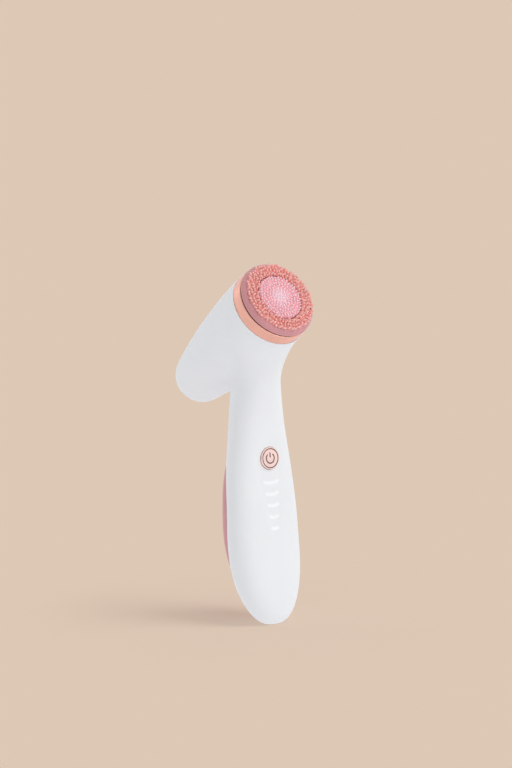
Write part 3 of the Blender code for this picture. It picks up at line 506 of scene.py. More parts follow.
class Nodes:
    """Adds shader nodes to one material and joins them."""

    def __init__(self, name, base, roughness, metallic=0.0):
        self.material = bpy.data.materials.new(name)
        self.material.use_nodes = True
        self.tree = self.material.node_tree
        self.shader = self.tree.nodes["Principled BSDF"]
        self.set(Base_Color=(*base, 1), Roughness=roughness, Metallic=metallic)
        self.material.diffuse_color = (*base, 1)

    def add(self, kind, **values):
        node = self.tree.nodes.new(kind)
        for key, value in values.items():
            if hasattr(node, key):
                setattr(node, key, value)
            else:
                node.inputs[key.replace("_", " ")].default_value = value
        return node

    def set(self, **values):
        for key, value in values.items():
            self.shader.inputs[key.replace("_", " ")].default_value = value

    def join(self, source, output, target, entry):
        self.tree.links.new(source.outputs[output], target.inputs[entry])

    def into_shader(self, source, output, entry):
        self.tree.links.new(source.outputs[output], self.shader.inputs[entry])

    def coordinates(self, stretch=(1, 1, 1)):
        place = self.add("ShaderNodeTexCoord")
        mapping = self.add("ShaderNodeMapping", Scale=stretch)
        self.join(place, "Object", mapping, "Vector")
        return mapping

    def noise(self, per_metre, detail, stretch=(1, 1, 1)):
        node = self.add("ShaderNodeTexNoise", Scale=per_metre, Detail=detail)
        self.join(self.coordinates(stretch), "Vector", node, "Vector")
        return node

    def spread(self, source, low, high, start=0.3, end=0.7, output="Fac"):
        node = self.add("ShaderNodeMapRange")
        for entry, value in (("From Min", start), ("From Max", end), ("To Min", low), ("To Max", high)):
            node.inputs[entry].default_value = value
        self.join(source, output, node, "Value")
        return node

    def tint(self, factor, output, colour):
        """Blends the base colour, as it is so far, towards another colour."""
        node = self.add("ShaderNodeMix", data_type="RGBA")
        self.join(factor, output, node, 0)
        base = self.shader.inputs["Base Color"]
        first, second, result = node.inputs[6], node.inputs[7], node.outputs[2]  # its colour sockets
        first.default_value = base.default_value
        if base.links:
            self.tree.links.new(base.links[0].from_socket, first)
        second.default_value = (*colour, 1)
        self.tree.links.new(result, base)

    def bump(self, source, strength, depth_mm):
        node = self.add("ShaderNodeBump", Strength=strength, Distance=depth_mm * MM)
        self.join(source, "Fac", node, "Height")
        self.into_shader(node, "Normal", "Normal")


def scaled(colour, share):
    return tuple(min(1.0, c * share) for c in colour)


def moulded(name, base, roughness, grain=2600, depth_mm=0.004, variation=0.03):
    """Plastic or rubber: fine moulding grain, uneven sheen and a faint drift in colour."""
    nodes = Nodes(name, scaled(base, 1 - variation), roughness)
    nodes.tint(nodes.spread(nodes.noise(70, 2), 0, 1), "Result", scaled(base, 1 + variation))
    sheen = nodes.spread(nodes.noise(260, 4), roughness * 0.85, min(1, roughness * 1.18))
    nodes.into_shader(sheen, "Result", "Roughness")
    nodes.bump(nodes.noise(grain, 4), 0.5, depth_mm)
    return nodes


def machined(name, base, roughness, stretch=(1, 1, 1), per_metre=1500, depth_mm=0.004):
    """Metal with fine tool or brushing marks and small changes in polish."""
    nodes = Nodes(name, scaled(base, 0.94), roughness, 1.0)
    marks = nodes.noise(per_metre, 5, stretch)
    nodes.tint(nodes.spread(nodes.noise(150, 3), 0, 1), "Result", scaled(base, 1.04))
    sheen = nodes.spread(marks, roughness * 0.75, roughness * 1.35)
    nodes.into_shader(sheen, "Result", "Roughness")
    nodes.bump(marks, 0.35, depth_mm)
    return nodes


def radial(nodes, start_mm, end_mm, low=0.0, high=1.0):
    """A factor that runs from low to high as the distance from the local Z axis grows."""
    flat = nodes.coordinates((1, 1, 0))
    length = nodes.add("ShaderNodeVectorMath", operation="LENGTH")
    nodes.join(flat, "Vector", length, 0)
    return nodes.spread(length, low, high, start_mm * MM, end_mm * MM, "Value")


WHITE = (0.84, 0.845, 0.855)
BLUSH = (0.64, 0.28, 0.30)
ROSE_GOLD = (0.90, 0.475, 0.375)
BUTTON_GOLD = (0.97, 0.71, 0.65)
BUTTON_LINE = (0.12, 0.05, 0.035)
LINE_INNER, LINE_OUTER = (4.5, 4.62), (5.02, 5.14)  # over these radii the brown line starts and ends, in mm
# The cup's second colour is painted shade: a dark brown for its underside, where the gap above the trim ring
# lies in shadow.
MAUVE, MAUVE_PAINTED_SHADE = (0.65, 0.29, 0.305), (0.17, 0.045, 0.03)
PAINTED_SHADE_EDGE = (6.5, 6.66)  # heights between which the painted shade on the cup's underside ends, in mm
# Nub colours: the plain colour carries painted shade at the roots and on the skin between the nubs; the tip
# colour is painted light on the tips.
CORAL, CORAL_LIT_TIP = (0.83, 0.355, 0.325), (0.99, 0.59, 0.53)
PINK, PINK_LIT_TIP, PINK_MIDDLE = (0.90, 0.46, 0.51), (0.98, 0.71, 0.745), (0.985, 0.81, 0.88)
OPAL = (0.84, 0.845, 0.85)
BAR_GLOW = 0.085
PLASTIC_SCATTER = (0.002, 0.002, 0.0024)  # how far red, green and blue light spread inside, in metres
OPAL_SCATTER = (0.002, 0.002, 0.002)
SILICONE_SCATTER = (0.0014, 0.0006, 0.0005)


def make_white():
    nodes = moulded("white_gloss_shell", WHITE, 0.42, 420, 0.004, 0.006)
    nodes.set(Coat_Weight=0.12, Subsurface_Weight=0.08, Subsurface_Radius=PLASTIC_SCATTER)
    haze = nodes.spread(nodes.noise(35, 5), 0.2, 0.32)
    nodes.into_shader(haze, "Result", "Coat Roughness")
    return nodes


def make_blush():
    nodes = moulded("blush_soft_touch", BLUSH, 0.58, 1600, 0.006, 0.05)
    nodes.set(Sheen_Weight=0.35, Sheen_Roughness=0.45, Sheen_Tint=(1, 0.85, 0.86, 1))
    return nodes


def make_button_face():
    """Rose gold with fine polishing marks and a brown line near the rim."""
    nodes = machined("rose_gold_button", BUTTON_GOLD, 0.4, (1, 1, 1), 700, 0.001)
    line = nodes.add("ShaderNodeMath", operation="MULTIPLY")
    nodes.join(radial(nodes, *LINE_INNER), "Result", line, 0)
    nodes.join(radial(nodes, *LINE_OUTER, 1.0, 0.0), "Result", line, 1)
    nodes.tint(line, "Value", BUTTON_LINE)
    metal = nodes.spread(line, 0.6, 0.1, 0, 1, "Value")
    nodes.into_shader(metal, "Result", "Metallic")
    return nodes


def silicone(name, base, tip):
    """Translucent silicone, with painted light and shade: the tips of soft nubs are lighter than the skin
    between them.
    """
    nodes = moulded(name, base, 0.58, 1400, 0.005, 0.04)
    # painted light and shade: lighter towards each nub's tip, darker at its root and on the skin between
    nodes.tint(nodes.add("ShaderNodeAttribute", attribute_name="tip"), "Fac", tip)
    nodes.set(Specular_IOR_Level=0.3, Subsurface_Weight=0.25, Subsurface_Radius=SILICONE_SCATTER)
    return nodes


def make_mauve():
    """The cup's silicone, with shade painted on underneath, where it faces the gap above the trim ring."""
    nodes = moulded("mauve_silicone_wall", MAUVE, 0.5, 900, 0.004, 0.04)
    split = nodes.add("ShaderNodeSeparateXYZ")
    nodes.join(nodes.coordinates(), "Vector", split, 0)
    low, high = PAINTED_SHADE_EDGE
    # painted shade: the underside turns dark brown below the lower height and fades out by the upper one
    nodes.tint(nodes.spread(split, 1.0, 0.0, low * MM, high * MM, "Z"), "Result", MAUVE_PAINTED_SHADE)
    nodes.set(Subsurface_Weight=0.15, Subsurface_Radius=SILICONE_SCATTER)
    return nodes


def make_pink():
    nodes = silicone("pale_pink_silicone", PINK, PINK_LIT_TIP)
    nodes.tint(radial(nodes, 0.6, 6.5, 0.75, 0.0), "Result", PINK_MIDDLE)
    return nodes


def make_lens():
    """Opal plastic that glows where the bars' glow attribute is high."""
    nodes = moulded("opal_light_bar", OPAL, 0.4, 420, 0.004, 0.006)
    glow = nodes.add("ShaderNodeAttribute", attribute_name="glow")
    nodes.into_shader(nodes.spread(glow, 0.0, BAR_GLOW, 0, 1), "Result", "Emission Strength")
    nodes.set(Emission_Color=(1, 1, 1, 1), Subsurface_Weight=0.3, Subsurface_Radius=OPAL_SCATTER)
    return nodes


FINISHES = {
    "white_shell": make_white(),
    "blush_grip": make_blush(),
    "rose_gold": machined("rose_gold_polish", ROSE_GOLD, 0.29, (1, 1, 14), 900, 0.0015),
    "mauve_silicone": make_mauve(),
    "coral_silicone": silicone("coral_silicone_nubs", CORAL, CORAL_LIT_TIP),
    "pink_silicone": make_pink(),
    "opal_lens": make_lens(),
    "grey_plastic": moulded("grey_moulding", (0.17, 0.18, 0.19), 0.55),
    "black_plastic": moulded("black_moulding", (0.02, 0.02, 0.022), 0.5),
    "black_rubber": moulded("black_rubber", (0.018, 0.018, 0.02), 0.75, 5000, 0.01, 0.08),
    "steel": machined("turned_steel", (0.56, 0.57, 0.58), 0.3, (1, 1, 6)),
    "brass": machined("turned_brass", (0.66, 0.46, 0.18), 0.32, (1, 1, 6)),
    "copper": machined("copper_winding", (0.62, 0.27, 0.14), 0.35, (8, 1, 1), 1200, 0.02),
    "board": moulded("solder_mask", (0.02, 0.11, 0.05), 0.4, 1500, 0.01, 0.1),
    "acetal": moulded("natural_acetal", (0.72, 0.70, 0.64), 0.38, 3000, 0.003, 0.02),
    "ferrite": moulded("sintered_ferrite", (0.03, 0.028, 0.028), 0.7, 3600, 0.012, 0.1),
    "cell_sleeve": moulded("cell_sleeve_blue", (0.02, 0.07, 0.30), 0.35, 2400, 0.002, 0.04),
    "red_wire": moulded("red_insulation", (0.45, 0.02, 0.02), 0.45, 2400, 0.004, 0.05),
}
MATERIALS = {slot: nodes.material for slot, nodes in FINISHES.items()}
BUTTON_FACE = make_button_face().material
ENAMEL = moulded("brown_enamel", (0.10, 0.042, 0.032), 0.4, 4000, 0.001, 0.03).material


def paint_cad_nodes():
    """Gives every CAD node the material of its slot in the record."""
    slots = {row["node"]: row["material_slot"] for row in frame["record"]["subparts"]}
    for name, obj in frame["nodes"].items():
        if not obj.material_slots:
            obj.data.materials.append(None)
        for place in obj.material_slots:
            place.material = MATERIALS[slots[name]]


# ---- the body


def fine_skin(fine=2):
    """Points, faces and rim edges of the outer skin: each face of the grid is split into four."""
    points, faces = body_grid(fine)
    bm = bmesh.new()
    verts = [bm.verts.new(tuple(p)) for p in points]
    for face in faces:
        bm.faces.new([verts[i] for i in face])
    bmesh.ops.subdivide_edges(bm, edges=bm.edges[:], cuts=1, use_grid_fill=True)
    bmesh.ops.recalc_face_normals(bm, faces=bm.faces)
    bm.verts.index_update()
    points = np.array([tuple(v.co) for v in bm.verts])
    rim = np.array([v.is_boundary for v in bm.verts])
    points[~rim] = settle(skin_distance, points[~rim], 3, 0.05)
    offset, axis = points[rim] - np.array(HEAD_POINT), np.array(BRUSH_AXIS)
    offset -= (offset @ axis)[:, None] * axis
    offset *= BARREL_RADIUS / np.linalg.norm(offset, axis=1, keepdims=True)
    points[rim] = np.array(HEAD_POINT) + offset
    faces = [[v.index for v in face.verts] for face in bm.faces]
    edges = [[v.index for v in edge.verts] for edge in bm.edges if edge.is_boundary]
    bm.free()
    return points, faces, edges


def make_housing():
    """The one-piece shell: outer and inner skin joined at the head, cut for the button and the grip cover."""
    outer, faces, rim_edges = fine_skin()
    inner = outer - skin_normals(outer) * WALL
    count = len(outer)
    every = faces + [[i + count for i in reversed(face)] for face in faces]
    every += [[a, b, b + count, a + count] for a, b in rim_edges]
    mesh = mesh_from("shell", np.concatenate([outer, inner]), every)
    shell = placed("shell", mesh)
    cutters = [cut_foot(), cut_button(), cut_rear()]
    for tool in cutters:
        modifier = shell.modifiers.new(tool.name, "BOOLEAN")
        modifier.operation, modifier.object, modifier.solver = "DIFFERENCE", tool, "EXACT"
    bpy.context.view_layer.update()
    graph = bpy.context.evaluated_depsgraph_get()
    cut = bpy.data.meshes.new_from_object(shell.evaluated_get(graph))
    cut.name = "housing_shell"
    for obj in [shell] + cutters:
        bpy.data.objects.remove(obj)
    piece("housing_shell", cut, "handle", "white_shell", None, ("main_housing",), 35)
    true_normals(cut)


NEAR_SKIN = 0.05  # a point this close counts as on the skin
SAME_WAY = 0.8  # cosine between normals below which a face isn't part of the skin


def true_normals(mesh):
    """Gives corners on the outer skin the skin's own normal, so that cuts don't disturb the shading."""
    points = np.empty(len(mesh.vertices) * 3)
    mesh.vertices.foreach_get("co", points)
    points = points.reshape(-1, 3) / MM
    on_skin = np.abs(skin_distance(points)) < NEAR_SKIN
    normals = np.zeros_like(points)
    normals[on_skin] = skin_normals(points[on_skin])
    custom = []
    for face in mesh.polygons:
        flat = np.array(face.normal)
        for index in face.vertices:
            if on_skin[index] and normals[index] @ flat > SAME_WAY:
                custom.append(tuple(normals[index]))
            else:
                custom.append((0.0, 0.0, 0.0))
    mesh.normals_split_custom_set(custom)


def cutter(name, outline, low, high):
    """A prism on the outline, from low to high, that only cuts the shell."""
    count = len(outline)
    points = [(x, y, z) for z in (low, high) for x, y in outline]
    faces = [tuple(range(count - 1, -1, -1)), tuple(range(count, 2 * count))]
    faces += [(i, (i + 1) % count, count + (i + 1) % count, count + i) for i in range(count)]
    return placed(name, mesh_from(name, points, faces))


def cut_foot():
    return cutter("cut_foot", [(-30, -30), (30, -30), (30, 30), (-30, 30)], -10, 0)


def cut_button():
    radius, count = BUTTON_RADIUS + BUTTON_CLEARANCE, 96
    turns = [TURN * k / count for k in range(count)]
    hole = cutter("cut_button", [(radius * math.cos(a), radius * math.sin(a)) for a in turns], -5, 5)
    hole.matrix_world = FRONT_MATRIX
    return hole


def grip_outline(share, count):
    return [
        (
            share * GRIP_HALF_WIDTH * math.sin(TURN * k / count),
            GRIP_CENTRE + share * GRIP_HALF_HEIGHT * math.cos(TURN * k / count),
        )
        for k in range(count)
    ]


def cut_rear():
    opening = cutter("cut_rear", grip_outline(OPENING_SHARE, 64), -40, -9)
    opening.rotation_euler = (math.pi / 2, 0, 0)
    return opening


GRIP_LIFT = GAP / 2  # the cover's edge stands this far off the handle
GRIP_EDGE = 0.15
GRIP_FLAT, GRIP_ROLL = 7, 2.2  # powers of the dome: how flat its middle is, and how round its edge
GRIP_COLUMNS, GRIP_ROWS = 112, 26
# Underside, from the edge inwards: share of the outline, and height over the handle's surface.
GRIP_SKIRT = ((0.985, -0.02), (0.74, 0.0), (0.72, -2.9), (0.67, -2.9))
GRIP_CEILING = (0.66, 0.3)


def grip_dome(share):
    """Height of the cover over the handle, share of the way out from its middle."""
    full = GRIP_RIM + GRIP_BULGE
    return GRIP_EDGE + (full - GRIP_EDGE) * (1 - min(share, 1.0) ** GRIP_FLAT) ** (1 / GRIP_ROLL)


def make_grip_cover():
    """Domed cover with a rolled edge; its skirt drops into the rear opening as on the CAD piece."""
    shares = [math.sin(math.pi / 2 * k / GRIP_ROWS) for k in range(1, GRIP_ROWS + 1)]
    steps = [(share, grip_dome(share)) for share in shares] + list(GRIP_SKIRT)
    steps += [(share, grip_dome(share) - GRIP_THICK) for share in GRIP_CEILING]
    points, rings = [], []
    for share, lift in steps:
        places = grip_outline(share, GRIP_COLUMNS)
        rings.append(list(range(len(points), len(points) + GRIP_COLUMNS)))
        points += [(x, y + GRIP_LIFT + lift, z) for (x, z), y in zip(places, back_surface(places))]
    crown, ceiling = len(points), len(points) + 1
    top = back_surface([(0, GRIP_CENTRE)])[0] + GRIP_LIFT + grip_dome(0)
    points += [(0, top, GRIP_CENTRE), (0, top - GRIP_THICK, GRIP_CENTRE)]
    mesh = mesh_from("grip_cover", points, stitched(rings, crown, ceiling))
    piece("grip_cover_soft", mesh, "handle", "blush_grip", None, ("rear_grip_cover",), 50)


# ---- button and light bars


# (radius, height) outline of the button's cap, from the middle of its face; height runs into the handle.
BUTTON_PROFILE = (
    (0, 0.02), (3.6, -0.02), (4.5, -0.12), (4.65, -0.02), (4.98, -0.02), (5.1, -0.12), (5.45, -0.1),
    (BUTTON_RADIUS, 0.12), (BUTTON_RADIUS, 3.5), (6.9, 3.5), (6.9, 4.1), (1.5, 4.1), (1.5, 4.5), (0, 4.5),
)
SYMBOL_RADIUS, SYMBOL_LINE = 2.5, 0.33  # radius of the open ring, and half the width of its line
SYMBOL_GAP = math.radians(38)  # half the ring's opening
SYMBOL_STROKE = ((0, -0.4), (0, -3.0))
SYMBOL_FLATTEN = 0.35


def make_button():
    mesh = revolved("button_cap", rounded(BUTTON_PROFILE, 0.12, 3), 96)
    obj = piece("button_cap", mesh, "button", "rose_gold", FRONT_MATRIX, ("power_button",))
    obj.data.materials[0] = BUTTON_FACE
    make_power_symbol()


def make_power_symbol():
    """A plain power symbol in brown enamel: an open ring and a short stroke."""
    curve = bpy.data.curves.new("power_symbol", "CURVE")
    curve.dimensions = "3D"
    curve.bevel_depth = SYMBOL_LINE * MM
    curve.bevel_resolution = 3
    curve.use_fill_caps = True
    turns = np.linspace(SYMBOL_GAP, TURN - SYMBOL_GAP, 41) - math.pi / 2
    ring = [(SYMBOL_RADIUS * math.cos(a), SYMBOL_RADIUS * math.sin(a)) for a in turns]
    for path in (ring, SYMBOL_STROKE):
        spline = curve.splines.new("POLY")
        spline.points.add(len(path) - 1)
        for knot, (x, y) in zip(spline.points, path):
            knot.co = (x * MM, y * MM, 0, 1)
    guide = placed("symbol_guide", curve)
    bpy.context.view_layer.update()
    mesh = bpy.data.meshes.new_from_object(guide)
    bpy.data.objects.remove(guide)
    for vertex in mesh.vertices:
        vertex.co.z *= SYMBOL_FLATTEN
    obj = piece("power_symbol", mesh, "button", "rose_gold", FRONT_MATRIX)
    obj.data.materials[0] = ENAMEL


ARC_POINTS, END_POINTS = 17, 9  # points along each side of a bar's outline, and round each of its ends


def bar_outline(bar, grow):
    """A light bar's outline in the front plane: a short arc with round ends, sagging in the middle."""
    bend = BAR_BEND * BAR_BEND_SHARE**bar
    half = (BAR_WIDTH - BAR_SHRINK * bar - BAR_THICK) / 2 / bend
    radius = BAR_THICK / 2 + grow
    drop = BAR_FIRST + BAR_STEP * bar
    outline = []
    for side in (1, -1):
        reach = bend + side * radius
        arc = np.linspace(-half, half, ARC_POINTS)[::side]
        outline += [(reach * math.sin(a), reach * math.cos(a)) for a in arc]
        tip = side * half
        x, y = bend * math.sin(tip), bend * math.cos(tip)
        for turn in np.linspace(0, math.pi, END_POINTS + 2)[1:-1]:
            way = tip + turn + (0 if side == 1 else math.pi)
            outline.append((x + radius * math.sin(way), y + radius * math.cos(way)))
    return [(x, y - bend + drop) for x, y in outline]


# Each ring of a light bar: how far outside the bar's edge, how far above the skin, and how brightly it glows.
BAR_RINGS = (
    (0.3, -1.2, 0.0), (0.3, -0.02, 0.0), (0.25, 0.01, 0.0), (0.0, 0.02, 0.35), (-0.25, 0.03, 0.8),
    (-0.5, 0.03, 1.0), (-0.75, 0.03, 1.0),
)


def bar_face(ring):
    """Faces that close a bar: strips between its two long sides, and one face at each end."""
    back = ARC_POINTS + END_POINTS
    faces = [
        (ring[i], ring[i + 1], ring[back + ARC_POINTS - 2 - i], ring[back + ARC_POINTS - 1 - i])
        for i in range(ARC_POINTS - 1)
    ]
    return faces + [tuple(ring[ARC_POINTS - 1 : back + 1]), tuple(ring[back + ARC_POINTS - 1 :] + ring[:1])]


def set_attribute(mesh, name, values):
    """A number for each point of a mesh, for its material to read."""
    attribute = mesh.attributes.new(name, "FLOAT", "POINT")
    attribute.data.foreach_set("value", np.array(values, dtype=np.float32))


def make_light_bars():
    """Five opal bars whose faces follow the body and whose edges are softly rounded."""
    points, faces, glow = [], [], []
    for bar in range(BAR_COUNT):
        rings = []
        for grow, lift, light in BAR_RINGS:
            outline = bar_outline(bar, grow)
            rings.append(list(range(len(points), len(points) + len(outline))))
            points += [(x, y, z) for (x, y), z in zip(outline, front_depth(outline, lift))]
            glow += [light] * len(outline)
        faces += stitched(rings) + bar_face(rings[-1])
        faces.append(tuple(reversed(rings[0])))
    mesh = mesh_from("light_bars", points, faces)
    set_attribute(mesh, "glow", glow)
    piece("light_bars", mesh, "handle", "opal_lens", FRONT_MATRIX, ("light_pipe",), 60)


# ---- the head


# (radius, height) outlines of the turned pieces, height measured out from the barrel's rim.
TRIM_PROFILE = (
    (18.4, -4.0), (18.75, -4.0), (18.75, 0.04), (21.08, 0.04), (20.85, 1.0), (20.62, 5.75), (20.1, 5.95),
    (18.4, 5.95),
)
CUP_PROFILE = (
    (4.5, 6.9), (16.6, 6.9), (16.6, 4.2), (18.0, 4.2), (18.0, 6.42), (20.4, 6.42), (20.42, 7.6),
    (19.9, 8.7), (18.9, 9.5), (17.9, 9.85), (12.55, 9.85), (12.55, 7.6), (4.5, 7.6),
)
DISC_PROFILE = (
    (0, 5.6), (4.1, 5.6), (4.1, 7.9), (12.1, 7.9), (12.1, 9.7), (11.7, 10.15), (6.0, 10.3), (0, 10.35),
)
OUTER_SKIN = ((12.75, 9.9), (18.2, 9.8), (18.0, 10.0), (17.4, 10.12), (12.9, 10.15))
INNER_SKIN = ((0, 10.2), (11.75, 10.0), (11.7, 10.35), (6, 10.55), (0, 10.6))


def make_turned_pieces():
    for name, profile, radius, segments, body, slot, node in (
        ("trim_ring_band", TRIM_PROFILE, 0.25, 160, "handle", "rose_gold", "head_trim_ring"),
        ("brush_ring_cup", CUP_PROFILE, 0.45, 160, "brush_head", "mauve_silicone", "outer_brush_ring"),
        ("centre_disc", DISC_PROFILE, 0.3, 128, "spinning_disc", "pink_silicone", "inner_brush_disc"),
    ):
        mesh = revolved(name, rounded(profile, radius), segments)
        piece(name, mesh, body, slot, HEAD_MATRIX, (node,))


# A nub from just below the skin towards its tip: share of its height, and share of its root radius.
NUB_SHAPE = ((-0.1, 1.1), (0.0, 1.0), (0.2, 0.82), (0.55, 0.62), (0.82, 0.48), (0.95, 0.3))
NUB_SIDES = 9
NUB_RADIUS = 0.84
ROW_SHARE = 0.88  # distance between rows of nubs against that between neighbours in a row
OUTER_NUBS = {"height": 1.95, "lean": 38, "splay": 26}
INNER_NUBS = {"height": 1.25, "lean": 34, "splay": 14}


def ring_places(inner, outer, pitch, jitter, chance):
    """(x, y) of nubs on rings from the inner to the outer radius, pitch apart and a little out of place."""
    places = []
    rows = max(1, round((outer - inner) / (pitch * ROW_SHARE)))
    for row in range(rows + 1):
        r = inner + (outer - inner) * row / rows
        if r == 0:
            places.append((0.0, 0.0))
            continue
        count = max(5, round(TURN * r / pitch))
        start = chance.uniform(0, TURN)
        for k in range(count):
            angle = start + TURN * k / count
            shift = r + chance.uniform(-jitter, jitter)
            places.append((shift * math.cos(angle), shift * math.sin(angle)))
    return places


def nub_rings(root, height, radius, push):
    """Rings of points up one soft tapered nub, and its tip; it leans by push degrees, along push."""
    way = math.atan2(push.y, push.x)
    turn = Matrix.Rotation(math.radians(push.length), 3, Vector((-math.sin(way), math.cos(way), 0)))
    rings = []
    for share, width in NUB_SHAPE:
        bend = turn if share > 0 else Matrix.Identity(3)
        reach = radius * width
        angles = [TURN * k / NUB_SIDES + way for k in range(NUB_SIDES)]
        ring = [Vector((reach * math.cos(a), reach * math.sin(a), height * share)) for a in angles]
        rings.append([tuple(root + bend @ point) for point in ring])
    return rings, tuple(root + turn @ Vector((0, 0, height)))


def nub_field(places, level, height, lean, splay, chance):
    """Nubs that lean at random up to lean degrees, and outwards by splay degrees at the rim.

    The tip attribute runs from 0 at a nub's root to 1 at its end; the material paints shade at 0 and light at
    1.
    """
    points, faces, lit_shares = [], [], []
    edge = max(math.hypot(x, y) for x, y in places)
    for x, y in places:
        way = chance.uniform(0, TURN)
        sway = chance.uniform(0.25, 1.0) * lean
        out = splay * (math.hypot(x, y) / edge) ** 6 / max(math.hypot(x, y), 0.1)
        push = Vector((sway * math.cos(way) + out * x, sway * math.sin(way) + out * y))
        tall = height * chance.uniform(0.86, 1.12)
        wide = NUB_RADIUS * chance.uniform(0.9, 1.1)
        nub, end = nub_rings(Vector((x, y, level(math.hypot(x, y)))), tall, wide, push)
        rings = []
        for ring, (share, _) in zip(nub, NUB_SHAPE):
            rings.append(list(range(len(points), len(points) + NUB_SIDES)))
            points += ring
            lit_shares += [max(0.0, share)] * NUB_SIDES
        points.append(end)
        lit_shares.append(1.0)
        faces += stitched(rings, None, len(points) - 1)
        faces.append(tuple(reversed(rings[0])))
    return points, faces, lit_shares


def nub_piece(name, body, slot, node, membrane, field):
    """A field of nubs and the thin skin they stand on, as one piece."""
    points, faces, lit_shares = field
    skin = revolved(name + "_skin", rounded(membrane, 0.1, 2), 128)
    start = len(points)
    points += [tuple(c / MM for c in v.co) for v in skin.vertices]
    faces += [tuple(start + i for i in face.vertices) for face in skin.polygons]
    # the skin between the nubs takes the roots' painted shade
    lit_shares += [0.0] * len(skin.vertices)
    bpy.data.meshes.remove(skin)
    mesh = mesh_from(name, points, faces)
    set_attribute(mesh, "tip", lit_shares)
    piece(name, mesh, body, slot, HEAD_MATRIX, (node,), 70)


def make_nubs():
    chance = random.Random(11)
    places = ring_places(13.25, 17.7, 1.75, 0.3, chance)
    field = nub_field(places, lambda r: 10.02, chance=chance, **OUTER_NUBS)
    nub_piece("outer_nubs", "brush_head", "coral_silicone", "outer_bristle_pad", OUTER_SKIN, field)
    places = ring_places(0.0, 11.2, 1.7, 0.35, chance)
    field = nub_field(places, lambda r: 10.45 - 0.0012 * r * r, chance=chance, **INNER_NUBS)
    nub_piece("inner_nubs", "spinning_disc", "pink_silicone", "inner_bristle_pad", INNER_SKIN, field)


# ---- floor, light and camera


def make_backdrop():
    """A pale seamless sweep: floor, a wide curve and a wall. Its sizes are in metres."""
    radius, near, far, height, half = 1.5, -2.5, 3.0, 3.5, 5.0
    path = [(near, 0.0), (far - radius, 0.0)]
    path += [
        (far - radius + radius * math.sin(a), radius - radius * math.cos(a))
        for a in np.linspace(0, math.pi / 2, 25)[1:]
    ]
    path.append((far, height))
    turn = Matrix.Rotation(math.radians(PHOTO_AZIMUTH), 3, "Z")
    points = [tuple(turn @ Vector((x, y, z))) for y, z in path for x in (-half, half)]
    faces = [(2 * i, 2 * i + 1, 2 * i + 3, 2 * i + 2) for i in range(len(path) - 1)]
    mesh = bpy.data.meshes.new("sweep")
    mesh.from_pydata(points, [], faces)
    mesh.shade_smooth()
    sweep = placed("sweep", mesh)
    sweep.data.materials.append(make_sweep_material())


def make_sweep_material():
    """A pale matte sheet that glows evenly, so that it shows only the soft shadow close round the foot."""
    nodes = moulded("pale_sweep", SHEET_DIFFUSE, 0.95, 60, 0.01, 0.004)
    nodes.set(Specular_IOR_Level=0.0)
    output = nodes.tree.nodes["Material Output"]
    glow = nodes.add("ShaderNodeEmission")
    glow.inputs["Color"].default_value = (*SHEET_COLOUR, 1)
    bounce = nodes.add("ShaderNodeEmission")
    bounce.inputs["Color"].default_value = (*SHEET_BOUNCE, 1)
    place = nodes.add("ShaderNodeTexCoord")
    far = nodes.add("ShaderNodeVectorMath", operation="LENGTH")
    nodes.join(place, "Object", far, 0)
    share = nodes.spread(far, SHADOW_SHARE, 0.0, SHADOW_NEAR, SHADOW_FAR, "Value")
    share.interpolation_type = "SMOOTHSTEP"
    seen = nodes.add("ShaderNodeMixShader")
    nodes.join(share, "Result", seen, 0)
    nodes.join(glow, "Emission", seen, 1)
    nodes.join(nodes.shader, "BSDF", seen, 2)
    ray = nodes.add("ShaderNodeLightPath")
    both = nodes.add("ShaderNodeMixShader")
    nodes.join(ray, "Is Camera Ray", both, 0)
    nodes.join(bounce, "Emission", both, 1)
    nodes.join(seen, "Shader", both, 2)
    nodes.join(both, "Shader", output, "Surface")
    return nodes.material


def direction(azimuth, elevation):
    """Unit vector from the object towards a place at these angles in degrees; azimuth 0 is in front."""
    a, e = math.radians(azimuth), math.radians(elevation)
    return Vector((math.sin(a) * math.cos(e), -math.cos(a) * math.cos(e), math.sin(e)))


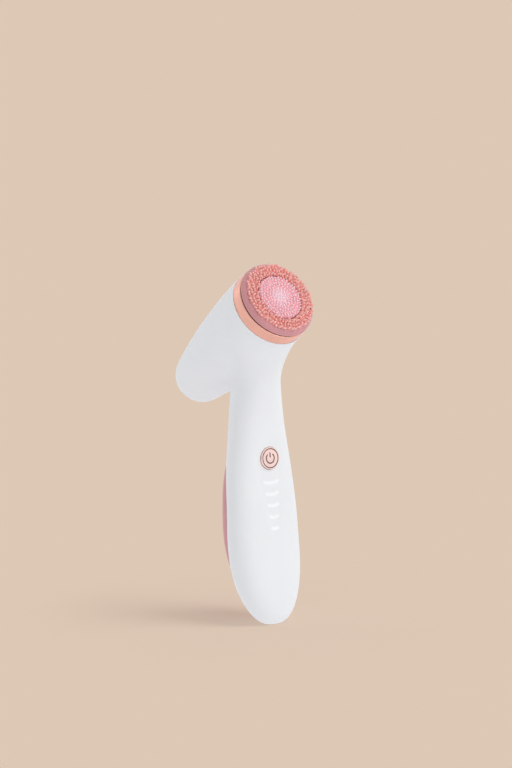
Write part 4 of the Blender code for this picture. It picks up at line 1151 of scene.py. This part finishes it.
def make_camera():
    data = bpy.data.cameras.new("camera")
    data.lens = LENS_MM
    data.sensor_width = SENSOR_MM
    data.clip_start, data.clip_end = 0.05, 30
    camera = placed("camera", data)
    back = direction(PHOTO_AZIMUTH, PHOTO_ELEVATION)
    right = Vector((math.cos(math.radians(PHOTO_AZIMUTH)), math.sin(math.radians(PHOTO_AZIMUTH)), 0))
    up = back.cross(right)
    camera.location = AIM + back * CAMERA_AWAY
    look = camera.location - (AIM - right * AIM_LEFT + up * AIM_UP)
    camera.rotation_euler = look.to_track_quat("Z", "Y").to_euler()
    bpy.context.scene.camera = camera


def area_light(name, azimuth, elevation, away, size, watts, colour=(1, 1, 1)):
    """A rectangular lamp, away metres from the middle of the object and turned to face it."""
    data = bpy.data.lights.new(name, "AREA")
    data.shape = "RECTANGLE"
    data.size, data.size_y = size
    data.energy = watts
    data.color = colour
    lamp = placed(name, data)
    way = direction(azimuth, elevation)
    lamp.location = LIT_POINT + way * away
    lamp.rotation_euler = way.to_track_quat("Z", "Y").to_euler()


def make_world():
    """An even, slightly cool sky; the camera sees it in the sheet's colour."""
    world = bpy.data.worlds.new("studio")
    bpy.context.scene.world = world
    world.use_nodes = True
    nodes, links = world.node_tree.nodes, world.node_tree.links
    sky = nodes["Background"]
    sky.inputs["Color"].default_value = (*SKY_COLOUR, 1)
    sky.inputs["Strength"].default_value = SKY_STRENGTH
    seen = nodes.new("ShaderNodeBackground")
    seen.inputs["Color"].default_value = (*SHEET_COLOUR, 1)
    ray = nodes.new("ShaderNodeLightPath")
    both = nodes.new("ShaderNodeMixShader")
    links.new(ray.outputs["Is Camera Ray"], both.inputs[0])
    links.new(sky.outputs["Background"], both.inputs[1])
    links.new(seen.outputs["Background"], both.inputs[2])
    links.new(both.outputs["Shader"], nodes["World Output"].inputs["Surface"])


def make_lights():
    sun = bpy.data.lights.new("key", "SUN")
    sun.energy = SUN_STRENGTH
    sun.angle = SUN_WIDTH
    lamp = placed("key", sun)
    lamp.rotation_euler = direction(*SUN_FROM).to_track_quat("Z", "Y").to_euler()
    area_light("soft_front", 5, 6, 1.4, (1.2, 1.3), 4.6)
    area_light("rim_left", -150, 22, 1.1, (0.7, 1.1), 0.8, (0.88, 0.93, 1.0))


paint_cad_nodes()
make_housing()
make_grip_cover()
make_button()
make_light_bars()
make_turned_pieces()
make_nubs()
make_backdrop()
make_camera()
make_world()
make_lights()
bpy.context.scene.view_settings.view_transform = "Standard"
